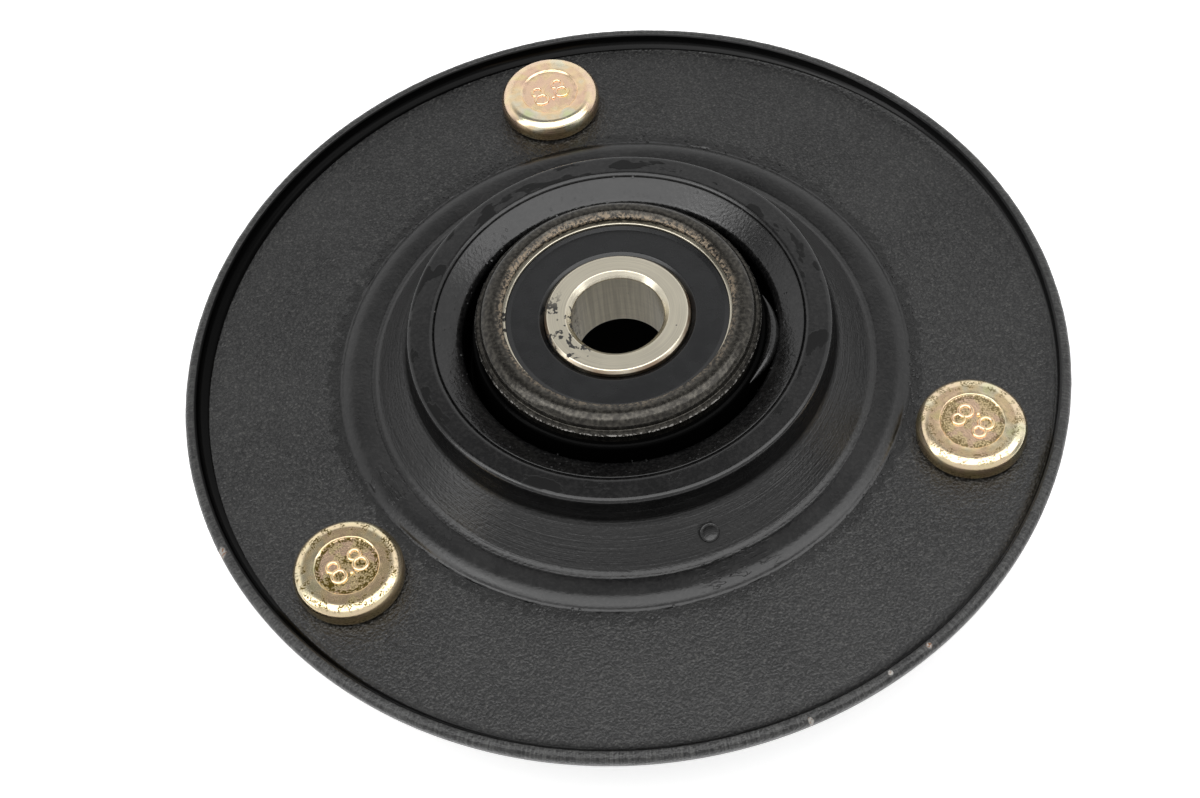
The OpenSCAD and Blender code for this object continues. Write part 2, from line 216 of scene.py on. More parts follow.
class NodeTree:
    """Adds nodes to a shader or geometry tree."""

    def __init__(self, tree: bpy.types.NodeTree) -> None:
        """Keep the tree that nodes are added to."""
        self.tree = tree

    @staticmethod
    def port(ports: Sequence[bpy.types.NodeSocket], key: Union[str, int]) -> bpy.types.NodeSocket:
        """Find a socket.

        Args:
            ports: A node's inputs or outputs.
            key: Number, identifier or name of the socket.

        Returns:
            The socket. An identifier goes before a name.
        """
        if isinstance(key, int):
            return ports[key]
        exact = [port for port in ports if port.identifier == key]
        return exact[0] if exact else next(port for port in ports if port.name == key)

    def add(
        self,
        kind: str,
        settings: Mapping[str, Any] | None = None,
        inputs: Mapping[Union[str, int], Any] | None = None,
    ) -> Node:
        """Add any node, set it up and link it.

        Args:
            kind: Node type, as Blender names it.
            settings: Properties of the node, and stops for a colour ramp. They are set first.
            inputs: Values, or sockets to link, by input identifier, name or number.

        Returns:
            The new node.
        """
        node = self.tree.nodes.new(kind)
        for name, value in (settings or {}).items():
            if name == "stops":
                self._set_stops(node.color_ramp, value)
            else:
                setattr(node, name, value)
        for key, value in (inputs or {}).items():
            port = self.port(node.inputs, key)
            if isinstance(value, Socket):
                self.tree.links.new(value.port, port)
            elif isinstance(value, tuple) and port.type == "RGBA":
                port.default_value = (*value[:3], 1.0)
            else:
                port.default_value = int(value) if port.type == "INT" else value
        return Node(self, node)

    @staticmethod
    def _set_stops(ramp: bpy.types.ColorRamp, stops: Sequence[tuple[float, Colour]]) -> None:
        """Give a colour ramp its stops.

        Args:
            ramp: Ramp of a new node.
            stops: Position and colour of each stop, in rising order.
        """
        while len(ramp.elements) < len(stops):
            ramp.elements.new(1.0)
        for element, (position, colour) in zip(ramp.elements, stops):
            element.position = position
            element.color = (*colour, 1.0)

    def noise(self, vector: Socket, scale: Operand, detail: float = 2.0, seed: Operand = 0.0) -> Socket:
        """Add a noise texture.

        Args:
            vector: Place at which the noise is read.
            scale: Waves for each unit of the vector.
            detail: Number of finer octaves.
            seed: Fourth coordinate, which picks one pattern.

        Returns:
            Noise from zero to one, about a half.
        """
        inputs = {"Vector": vector, "W": seed, "Scale": scale, "Detail": detail}
        return self.add("ShaderNodeTexNoise", {"noise_dimensions": "4D"}, inputs)["Fac"]

    def parts(self, vector: Socket) -> tuple[Socket, Socket, Socket]:
        """The three components of a vector."""
        node = self.add("ShaderNodeSeparateXYZ", inputs={"Vector": vector})
        return node["X"], node["Y"], node["Z"]

    def vector(self, x: Operand, y: Operand, z: Operand) -> Socket:
        """Vector from three components."""
        return self.add("ShaderNodeCombineXYZ", inputs={"X": x, "Y": y, "Z": z})["Vector"]


class ShaderTree(NodeTree):
    """Tree of one material, with a Principled shader and the part's coordinates in millimetres."""

    def __init__(self, material: bpy.types.Material) -> None:
        """Start the tree with its shader.

        Args:
            material: New material that the tree belongs to.
        """
        material.use_nodes = True
        super().__init__(material.node_tree)
        self.tree.nodes.clear()
        self.shader = self.add("ShaderNodeBsdfPrincipled")
        self.output = self.add("ShaderNodeOutputMaterial", inputs={"Surface": self.shader["BSDF"]})
        self.place = self.millimetres(self.add("ShaderNodeTexCoord")["Object"])
        self.x, self.y, self.z = self.parts(self.place)
        self.radius = (self.x * self.x + self.y * self.y) ** 0.5
        self.angle = self.x.math("ARCTAN2", self.y, self.x)

    def millimetres(self, vector: Socket) -> Socket:
        """A vector in metres as one in millimetres."""
        return self.add("ShaderNodeVectorMath", {"operation": "SCALE"}, {0: vector, "Scale": 1 / MM})[0]

    def around(self, along: float, across: float) -> Socket:
        """Coordinates that run round the axis.

        Args:
            along: Waves for each radian round the axis.
            across: Waves for each millimetre across it.

        Returns:
            A vector that is periodic round the axis.
        """
        turn = self.angle
        return self.vector(turn.cos() * along, turn.sin() * along, (self.radius + self.z) * across)

    def mix(self, factor: Operand, first: Any, second: Any) -> Socket:
        """Colour between two.

        Args:
            factor: Zero gives the first colour, one the second.
            first: A colour or a socket.
            second: A colour or a socket.

        Returns:
            The mixed colour.
        """
        inputs = {"Factor_Float": factor, "A_Color": first, "B_Color": second}
        return self.add("ShaderNodeMix", {"data_type": "RGBA"}, inputs)["Result_Color"]

    def ramp(self, value: Socket, stops: Sequence[tuple[float, Colour]]) -> Socket:
        """Colour that follows a value through the stops."""
        return self.add("ShaderNodeValToRGB", {"stops": stops}, {"Fac": value})["Color"]

    def cells(self, vector: Socket, scale: float, seed: float = 0.0) -> Node:
        """Voronoi cells, with the distance to each cell's point and a colour for each cell."""
        settings = {"voronoi_dimensions": "4D"}
        return self.add("ShaderNodeTexVoronoi", settings, {"Vector": vector, "Scale": scale, "W": seed})

    def specks(self, vector: Socket, scale: float, share: float, reach: float, seed: float = 0.0) -> Socket:
        """Scattered dots.

        Args:
            vector: Place, in millimetres.
            scale: Cells for each millimetre.
            share: Share of the cells that hold a dot.
            reach: Size of a dot, as a share of a cell.
            seed: Number that picks one pattern.

        Returns:
            One inside a dot, else zero.
        """
        cell = self.cells(vector, scale, seed)
        pick = self.parts(cell["Color"])[0]
        return cell["Distance"].rise(reach, reach * 0.6) * (1.0 - pick.above(share))

    def bump(self, height: Socket, depth: float, under: Socket | None = None) -> Socket:
        """Normal of a surface that stands up with a height.

        Args:
            height: Height as a share of the depth.
            depth: Depth in millimetres.
            under: Normal to start from.

        Returns:
            The new normal.
        """
        inputs: dict[Union[str, int], Any] = {"Height": height, "Strength": 1.0, "Distance": depth * MM}
        if under is not None:
            inputs["Normal"] = under
        return self.add("ShaderNodeBump", inputs=inputs)["Normal"]

    def attribute(self, name: str) -> Socket:
        """Attribute of the piece's own mesh as a vector."""
        return self.add("ShaderNodeAttribute", {"attribute_name": name})["Vector"]

    def finish(self, **inputs: Any) -> None:
        """Set or link inputs of the shader.

        Args:
            **inputs: Values or sockets, with the input's name in lower case and underscores.
        """
        for name, value in inputs.items():
            port = self.port(self.shader.node.inputs, name.replace("_", " ").title().replace("Ior", "IOR"))
            if isinstance(value, Socket):
                self.tree.links.new(value.port, port)
            elif isinstance(value, tuple):
                port.default_value = (*value, 1.0)
            else:
                port.default_value = value

    def dull(self, share: Socket) -> None:
        """Let matt black, which takes no light, take over a share of the surface: painted shade.

        Args:
            share: One where the surface takes no light, else zero; it paints shade.
        """
        matt = self.add("ShaderNodeBsdfDiffuse", inputs={"Color": PAINTED_SHADE_BLACK})["BSDF"]
        both = self.add("ShaderNodeMixShader", inputs={0: share, 1: self.shader["BSDF"], 2: matt})["Shader"]
        self.tree.links.new(both.port, self.port(self.output.node.inputs, "Surface"))


@dataclass(frozen=True)
class Finish:
    """A material of the part. Each finish paints its own tree."""

    name: str

    def paint(self, tree: ShaderTree) -> None:
        """Add the finish's nodes to a new tree."""
        raise NotImplementedError

    def material(self) -> bpy.types.Material:
        """Make the material.

        Returns:
            The new material.
        """
        made = bpy.data.materials.new(self.name)
        self.paint(ShaderTree(made))
        return made


@dataclass(frozen=True)
class Chip:
    """A spot on the plate where the paint is gone. Lengths are in millimetres, the angle in degrees."""

    angle: float
    radius: float
    reach: float

    def mask(self, tree: ShaderTree, ragged: Socket) -> Socket:
        """One inside the chip, with an uneven edge, else zero.

        Args:
            tree: Tree that the nodes are added to.
            ragged: Noise from zero to one that bends the chip's edge.

        Returns:
            The mask.
        """
        turn = math.radians(self.angle)
        aside = tree.x - self.radius * math.cos(turn)
        ahead = tree.y - self.radius * math.sin(turn)
        away = (aside * aside + ahead * ahead) ** 0.5 / self.reach
        return (away + (ragged - 0.5) * 2.0).rise(1.1, 0.7)


@dataclass(frozen=True)
class BlackPaint(Finish):
    """Black stoved paint with a pebbled grain and painted shade inside the rim, darker on one side, worn
    along its sheared edge.
    """

    colour: Colour = (0.0008, 0.0008, 0.0010)
    haze: Colour = (0.027, 0.027, 0.0262)
    film_and_shade_black: Colour = (0.0015, 0.0015, 0.0015)
    dust: Colour = (0.30, 0.28, 0.25)
    shorn: Colour = (0.045, 0.045, 0.043)
    speck: Colour = (0.062, 0.060, 0.055)
    bare: Colour = (0.34, 0.33, 0.31)
    rust: Colour = (0.20, 0.09, 0.04)
    rough: float = 0.31
    grain: float = 0.29
    edge: float = 73.0
    sheet: float = 2.0
    film: float = 49.0
    chips: tuple[Chip, ...] = ()

    def paint(self, tree: ShaderTree) -> None:
        """Add grain, dust, chips, painted shade inside the rim, the film of flash round the rubber and the
        shear marks.

        Args:
            tree: Tree of the new material.
        """
        fine = tree.noise(tree.place, 2.7, 2.0)
        peel = tree.noise(tree.place, 1.1, 2.0, 1.0)
        broad = tree.noise(tree.place, 0.06, 3.0, 4.0)
        ragged = tree.noise(tree.place, 0.9, 4.0, 7.0)
        shear = tree.noise(tree.around(3.2 * self.edge, 0.5), 1.0, 3.0, 3.0)
        rim_in = self.edge - self.sheet
        on_rim = tree.radius.rise(rim_in + 0.3, rim_in + 0.7)
        # Painted shade: a black band inside the rim, wider and darker on one side.
        shade_side = (tree.x - tree.y) / tree.radius * math.sqrt(0.5)
        front = tree.z.rise(self.sheet * 0.4, self.sheet * 0.6)
        rim_shade = (tree.radius - shade_side * 0.8).rise(rim_in - 1.15, rim_in - 0.85)
        rim_shade = rim_shade * tree.radius.rise(rim_in + 0.5, rim_in + 0.2) * front
        film = (tree.radius + (ragged - 0.5) * 7.0).rise(self.film + 0.2, self.film - 0.2) * front
        dust = tree.specks(tree.place, 0.42, 0.12, 0.07, 2.0)
        worn = on_rim * (shear * 0.5 + ragged * 0.5).rise(0.66, 0.70) * 0.6
        for chip in self.chips:
            worn = worn.most(chip.mask(tree, ragged))
        base = tree.mix(broad.rise(0.3, 0.7) * 0.2 + fine.rise(0.40, 0.65) * 0.8, self.colour, self.haze)
        base = tree.mix(fine.rise(0.63, 0.70) * 0.8, base, self.speck)
        # The film of flash and the painted shade inside the rim take the same black.
        base = tree.mix(rim_shade.most(film * 0.7), base, self.film_and_shade_black)
        base = tree.mix(on_rim * shear.rise(0.45, 0.65), base, self.shorn)
        base = tree.mix(dust * 0.8, base, self.dust)
        metal = tree.mix(fine.rise(0.5, 0.62), self.bare, self.rust)
        plain = (1.0 - rim_shade) * (1.0 - film * 0.5)
        pebbles = tree.bump((fine * 0.6 + peel * 0.4) * plain, self.grain)
        ground = tree.bump(film * 0.7 + on_rim * shear * 0.5, 0.10, pebbles)
        tree.finish(
            base_color=tree.mix(worn * 0.85, base, metal),
            roughness=self.rough + (broad - 0.5) * 0.15 - rim_shade * 0.1 + worn * 0.1,
            metallic=worn * 0.4,
            normal=tree.bump(1.0 - worn, 0.04, ground),
        )
        # Painted shade: matt black over the band inside the rim, stronger on one side.
        tree.dull(rim_shade * (1.0 - worn) * (0.62 - shade_side * 0.3))


@dataclass(frozen=True)
class MouldedRubber(Finish):
    """Glossy black rubber with mould lines round the cone, smears on the raised ring and a few scuffs."""

    colour: Colour = (0.0028, 0.0028, 0.0030)
    bloom: Colour = (0.0150, 0.0147, 0.0145)
    smear_and_shade_black: Colour = (0.0014, 0.0014, 0.0014)
    dust: Colour = (0.20, 0.19, 0.18)
    rough: float = 0.19
    ior: float = 1.52
    well: tuple[float, float] = (25.5, 12.6)
    well_floor: float = 2.6
    wall_foot: float = 9.2
    ring: tuple[float, float] = (30.9, 33.9)
    ring_top: float = 13.2
    cone: tuple[float, float] = (35.0, 41.5)
    bead: tuple[float, float] = (42.0, 46.5)
    scuff_sides: tuple[float, float] = (281.0, 199.0)

    def paint(self, tree: ShaderTree) -> None:
        """Add bloom, mould lines, smears, scuffs, dust, and painted shade in the groove and on the raised
        ring's outer wall.

        Args:
            tree: Tree of the new material.
        """
        broad = tree.noise(tree.place, 0.12, 3.0)
        fine = tree.noise(tree.place, 1.9, 3.0, 3.0)
        turn = tree.angle
        lines = tree.noise(tree.vector(turn.cos() * 1.5, turn.sin() * 1.5, tree.z * 6.0), 1.0, 3.0, 5.0)
        patch = tree.noise(tree.around(4.6, 0.3), 1.0, 4.0, 9.0)
        scratch = tree.noise(tree.around(16.0, 1.6), 1.0, 3.0, 2.0)
        on_top = tree.radius.band(*self.ring, 0.3) * tree.z.rise(self.ring_top - 0.4, self.ring_top)
        smear = on_top * patch.rise(0.54, 0.57)
        on_cone = tree.radius.band(*self.cone, 0.5)
        on_bead = tree.radius.rise(self.bead[0] - 0.5, self.bead[0] + 0.5)
        sides = [math.radians(side) for side in self.scuff_sides]
        near = [(tree.x * math.cos(side) + tree.y * math.sin(side)) / tree.radius for side in sides]
        marked = near[0].rise(0.985, 0.997).most(near[1].rise(0.994, 0.999))
        scuff = tree.radius.band(*self.bead, 0.4) * marked * scratch.rise(0.52, 0.56)
        dust = tree.specks(tree.place, 0.35, 0.14, 0.07, 6.0)
        veil = broad.rise(0.4, 0.7) * 0.4 + fine.rise(0.42, 0.66) * 0.6
        base = tree.mix(veil.most(on_cone * lines.rise(0.42, 0.62) * 0.8), self.colour, self.bloom)
        base = tree.mix(smear, base, self.smear_and_shade_black)
        # Painted shade: the groove round the sleeve is darkened with the smears' black.
        painted_shade = tree.radius.rise(self.well[0] + 0.3, self.well[0])
        painted_shade = painted_shade * tree.z.band(self.well_floor, self.well[1], 0.2)
        base = tree.mix(painted_shade, base, self.smear_and_shade_black)
        on_dish = tree.radius.band(self.well[0], self.ring[0] - 1.2, 0.3)
        grain = tree.bump(fine * (1.0 + on_dish + on_bead * 0.5 + on_cone * 2.0 - on_top * 0.7), 0.03)
        relief = tree.bump(smear * 0.15 + scuff, 0.10, grain)
        tree.finish(
            base_color=tree.mix(dust * 0.6, base, self.dust),
            ior=self.ior,
            roughness=self.rough + (broad - 0.5) * 0.12 + smear * 0.12 + on_cone * 0.1 + on_bead * 0.1,
            normal=tree.bump(lines * on_cone, 0.075, relief),
        )
        # Painted shade on the raised ring's outer wall; with the groove's painted shade and the darker smears
        # it takes matt black.
        on_wall = tree.radius.band(self.ring[1], self.cone[0] + 0.5, 0.3)
        on_wall = on_wall * tree.z.band(self.wall_foot, self.ring_top - 0.6, 0.4)
        tree.dull((painted_shade * 0.95).most(on_wall * 0.45).most(smear * 0.4))


@dataclass(frozen=True)
class CupSteel(Finish):
    """Dark phosphated steel with rust along the lip's inner edge and bright metal on the burr."""

    dark: Colour = (0.028, 0.026, 0.023)
    bronze: Colour = (0.088, 0.082, 0.070)
    rust: Colour = (0.25, 0.195, 0.135)
    bright: Colour = (0.40, 0.385, 0.36)
    lip_edge: float = 18.5
    lip_low: float = 15.95
    burr: float = 22.9

    def paint(self, tree: ShaderTree) -> None:
        """Add the phosphate's mottle, the rust band and the bright burr.

        Args:
            tree: Tree of the new material.
        """
        mottle = tree.noise(tree.place, 1.6, 5.0)
        fine = tree.noise(tree.place, 2.6, 3.0, 2.0)
        reach = tree.noise(tree.place, 0.16, 3.0, 6.0)
        inner = (tree.radius + (reach - 0.5) * 2.4).rise(self.lip_edge + 1.3, self.lip_edge + 0.1)
        at_edge = inner * tree.z.rise(self.lip_low, self.lip_low + 0.2)
        facing = (tree.y / tree.radius).rise(-2.2, 0.8)
        rust = at_edge * (fine * 0.9 + mottle * 0.4).rise(0.58, 0.74) * facing
        burr = tree.radius.rise(self.burr + 0.08, self.burr + 0.2) * fine.rise(0.48, 0.58)
        base = tree.mix(mottle.rise(0.35, 0.75), self.dark, self.bronze)
        base = tree.mix(rust, base, self.rust)
        tree.finish(
            base_color=tree.mix(burr, base, self.bright),
            metallic=0.8 - rust * 0.4,
            roughness=0.22 + (mottle - 0.5) * 0.12 + rust * 0.3,
            normal=tree.bump(fine * 0.5 + mottle * 0.5, 0.018),
        )


@dataclass(frozen=True)
class YellowZinc(Finish):
    """Yellow passivated zinc: peach, gold and green tints over bright metal, with soil in the recess."""

    peach: Colour = (0.90, 0.69, 0.42)
    gold: Colour = (0.88, 0.71, 0.38)
    grey: Colour = (0.77, 0.71, 0.55)
    green: Colour = (0.70, 0.73, 0.43)
    pink: Colour = (0.84, 0.58, 0.43)
    olive: Colour = (0.105, 0.072, 0.014)
    side_reflection_brown: Colour = (0.37, 0.26, 0.085)
    pale: Colour = (0.95, 0.88, 0.66)
    recess_r: float = 4.9
    head_r: float = 8.8
    top: float = 5.9

    def paint(self, tree: ShaderTree) -> None:
        """Add the tints, the soiled recess, the flecked edge, a painted highlight round the rounded edge and
        a painted reflection that darkens the side brown.

        Args:
            tree: Tree of the new material.
        """
        x, y, z = tree.parts(tree.millimetres(tree.attribute("stud_place")))
        soil = tree.parts(tree.attribute("soil"))[0]
        reach = (x * x + y * y) ** 0.5
        tint = tree.noise(tree.place, 0.21, 2.0, 2.0)
        streak = tree.noise(tree.place, 0.7, 4.0, 3.0)
        crystal = tree.noise(tree.place, 3.6, 4.0, 5.0)
        cloud = tree.noise(tree.place, 0.34, 2.0, 8.0)
        stops = (
            (0.32, self.green),
            (0.40, self.grey),
            (0.47, self.peach),
            (0.57, self.pink),
            (0.66, self.gold),
        )
        base = tree.ramp(tint * 0.85 + streak * 0.15, stops)
        low = z.rise(self.top - 0.10, self.top - 0.18)
        in_recess = reach.rise(self.recess_r + 0.1, self.recess_r - 0.1) * low
        wall = reach.band(self.recess_r - 0.5, self.recess_r + 0.1, 0.25) * low
        edge = reach.band(self.head_r - 2.4, self.head_r - 0.9, 0.5) * streak.rise(0.46, 0.56)
        side = z.rise(self.top - 1.2, self.top - 2.2)
        fleck = crystal.rise(0.50, 0.62)
        stain = in_recess * (crystal * 0.5 + cloud * 0.5).rise(0.49, 0.57)
        stain = stain.most(wall * crystal.rise(0.40, 0.52)).most(edge * crystal.rise(0.44, 0.56))
        base = tree.mix(soil * soil * 0.45, base, self.gold)
        base = tree.mix(in_recess * soil * 0.5, base, self.gold)
        base = tree.mix(in_recess * cloud.rise(0.50, 0.42) * 0.75, base, self.pink)
        # Painted highlight: the rounded edge of the head is lightened towards pale.
        painted_highlight = reach.band(self.head_r - 1.8, self.head_r - 0.4, 0.4)
        painted_highlight = painted_highlight * z.rise(self.top - 1.4, self.top - 0.9)
        base = tree.mix(painted_highlight * (0.2 + soil * 0.15), base, self.pale)
        # Painted reflection: the head's side is darkened brown as if the dark plate showed in it; olive
        # flecks lie on it too.
        base = tree.mix(side * 0.55, base, self.side_reflection_brown)
        base = tree.mix((stain * soil).most(side * fleck * 0.8), base, self.olive)
        tree.finish(
            base_color=base,
            metallic=1.0,
            roughness=0.22 + (streak - 0.5) * 0.15 + stain * soil * 0.15,
            normal=tree.bump(crystal * soil * (in_recess * 0.6 + 0.12), 0.06),
        )


@dataclass(frozen=True)
class RingSteel(Finish):
    """Ground bearing steel, with turning lines round the axis and black specks on one side of the face."""

    colour: Colour = (0.71, 0.66, 0.53)
    shade: Colour = (0.585, 0.54, 0.44)
    dull: Colour = (0.30, 0.265, 0.215)
    speck: Colour = (0.012, 0.011, 0.010)
    stain: Colour = (0.20, 0.11, 0.06)
    rough: float = 0.30
    bore: float = 7.6
    land: float = 11.85
    speck_side: float = 190.0

    def paint(self, tree: ShaderTree) -> None:
        """Add turning lines, streaks in the bore, specks and a stained outer edge.

        Args:
            tree: Tree of the new material.
        """
        lines = tree.noise(tree.around(0.8, 9.0), 1.0, 3.0)
        streak = tree.noise(tree.around(14.0, 0.05), 1.0, 2.0, 6.0)
        broad = tree.noise(tree.place, 0.25, 2.0, 2.0)
        side = math.radians(self.speck_side)
        toward = (tree.x * math.cos(side) + tree.y * math.sin(side)) / tree.radius
        ragged = tree.noise(tree.place, 1.6, 3.0, 8.0)
        blot = tree.noise(tree.place, 0.8, 3.0, 12.0)
        dots = blot.rise(0.555, 0.57) * toward.rise(0.55, 0.90) * ragged.rise(0.40, 0.46)
        fine_dots = tree.specks(tree.place, 0.7, 0.16, 0.12, 3.0)
        dots = dots.most(fine_dots)
        stain = tree.radius.band(self.land - 0.35, self.land + 0.2, 0.1) * broad.rise(0.3, 0.7)
        in_bore = tree.radius.rise(self.bore + 0.4, self.bore)
        base = tree.mix(lines.rise(0.3, 0.7), self.shade, self.colour)
        base = tree.mix(in_bore * streak.rise(0.35, 0.65) * 0.4, base, self.dull)
        base = tree.mix(stain * 0.8, base, self.stain)
        tree.finish(
            base_color=tree.mix(dots, base, self.speck),
            metallic=1.0 - dots,
            roughness=self.rough + (broad - 0.5) * 0.12 + dots * 0.3 - in_bore * 0.06,
            normal=tree.bump(lines * (1.0 - in_bore), 0.004),
        )


@dataclass(frozen=True)
class SealRubber(Finish):
    """Dark blue-grey nitrile rubber with a faint bloom."""

    colour: Colour = (0.0035, 0.0038, 0.0044)
    bloom: Colour = (0.0060, 0.0064, 0.0072)
    dust: Colour = (0.25, 0.25, 0.25)
    rough: float = 0.27

    def paint(self, tree: ShaderTree) -> None:
        """Add bloom and a fine moulded grain.

        Args:
            tree: Tree of the new material.
        """
        broad = tree.noise(tree.place, 0.3, 3.0)
        fine = tree.noise(tree.place, 2.5, 3.0, 4.0)
        dust = tree.specks(tree.place, 0.9, 0.10, 0.09, 2.0)
        base = tree.mix(broad.rise(0.35, 0.7), self.colour, self.bloom)
        tree.finish(
            base_color=tree.mix(dust * 0.6, base, self.dust),
            roughness=self.rough + (broad - 0.5) * 0.15,
            normal=tree.bump(fine, 0.008),
        )


@dataclass(frozen=True)
class PlainSteel(Finish):
    """Bright steel of the balls, the cage and its rivets, with a faint oily mottle."""

    colour: Colour = (0.62, 0.61, 0.58)
    oil: Colour = (0.42, 0.39, 0.33)
    rough: float = 0.2
    grain: float = 0.004

    def paint(self, tree: ShaderTree) -> None:
        """Add the mottle and a fine grain.

        Args:
            tree: Tree of the new material.
        """
        mottle = tree.noise(tree.place, 0.6, 3.0)
        fine = tree.noise(tree.place, 5.0, 2.0, 3.0)
        tree.finish(
            base_color=tree.mix(mottle.rise(0.45, 0.75), self.colour, self.oil),
            metallic=1.0,
            roughness=self.rough + (mottle - 0.5) * 0.15,
            normal=tree.bump(fine, self.grain),
        )


@dataclass(frozen=True)
class Corner:
    """A corner of an outline, in millimetres from the axis and above the mounting face."""

    r: float
    z: float
    bend: float = 0.0
    ragged: float = 0.0


def arc(r: float, z: float, radius: float, start: float, end: float, count: int = 8) -> list[Corner]:
    """Lay points along an arc.

    Args:
        r: Distance of the arc's centre from the axis.
        z: Height of the centre.
        radius: Radius of the arc.
        start: Angle of the first point, in degrees from the outward direction.
        end: Angle of the last point.
        count: Number of steps.

    Returns:
        The points, both ends included.
    """
    turns = [math.radians(start + (end - start) * i / count) for i in range(count + 1)]
    return [Corner(r + radius * math.cos(t), z + radius * math.sin(t)) for t in turns]


def crown(run: float, fall: float) -> float:
    """Radius of an arc that falls by that much over the run from its crest."""
    return (run ** 2 + fall ** 2) / (2 * fall)


@dataclass
class Outline:
    """Half section of a turned piece, given by its corners. Lengths are in millimetres."""

    corners: Sequence[Corner]
    closed: bool = True
    step: float = 12.0
    hold: float = 0.12

    def _rounded(self, before: Corner, corner: Corner, after: Corner) -> list[Corner]:
        """Replace a corner by points along its bend.

        Args:
            before: Corner before it.
            corner: Corner with a bend radius.
            after: Corner after it.

        Returns:
            Points along the arc that touches both sides.
        """
        at = Vector((corner.r, corner.z))
        back = (Vector((before.r, before.z)) - at).normalized()
        ahead = (Vector((after.r, after.z)) - at).normalized()
        half = back.angle(ahead) / 2
        middle = at + (back + ahead).normalized() * (corner.bend / math.sin(half))
        start = at + back * (corner.bend / math.tan(half)) - middle
        swing = start.angle_signed(at + ahead * (corner.bend / math.tan(half)) - middle)
        count = max(2, math.ceil(abs(math.degrees(swing)) / self.step))
        turns = [Matrix.Rotation(-swing * i / count, 2) for i in range(count + 1)]
        points = [middle + turn @ start for turn in turns]
        return [Corner(p.x, p.y, 0.0, corner.ragged) for p in points]

    def stations(self) -> list[Corner]:
        """Points of the outline.

        Returns:
            Points with every bend rounded and each long side held straight near its ends.
        """
        corners = list(self.corners)
        last = len(corners) - 1
        bent: list[Corner] = []
        for i, corner in enumerate(corners):
            inner = self.closed or 0 < i < last
            if corner.bend > 0.0 and inner:
                bent += self._rounded(corners[i - 1], corner, corners[(i + 1) % len(corners)])
            else:
                bent.append(corner)
        held: list[Corner] = []
        for i, point in enumerate(bent):
            held.append(point)
            if i == len(bent) - 1 and not self.closed:
                break
            after = bent[(i + 1) % len(bent)]
            side = math.hypot(after.r - point.r, after.z - point.z)
            if side > 6 * self.hold:
                for share in (self.hold / side, 1 - self.hold / side):
                    r = point.r + (after.r - point.r) * share
                    z = point.z + (after.z - point.z) * share
                    held.append(Corner(r, z))
        return held

    def mesh(self, name: str) -> bpy.types.Mesh:
        """Make the outline a mesh of points in metres.

        Args:
            name: Name of the mesh.

        Returns:
            Points at (r, 0, z) with the attribute ragged.
        """
        stations = self.stations()
        made = bpy.data.meshes.new(name)
        made.from_pydata([(s.r * MM, 0.0, s.z * MM) for s in stations], [], [])
        ragged = made.attributes.new("ragged", "FLOAT", "POINT")
        ragged.data.foreach_set("value", [s.ragged * MM for s in stations])
        return made


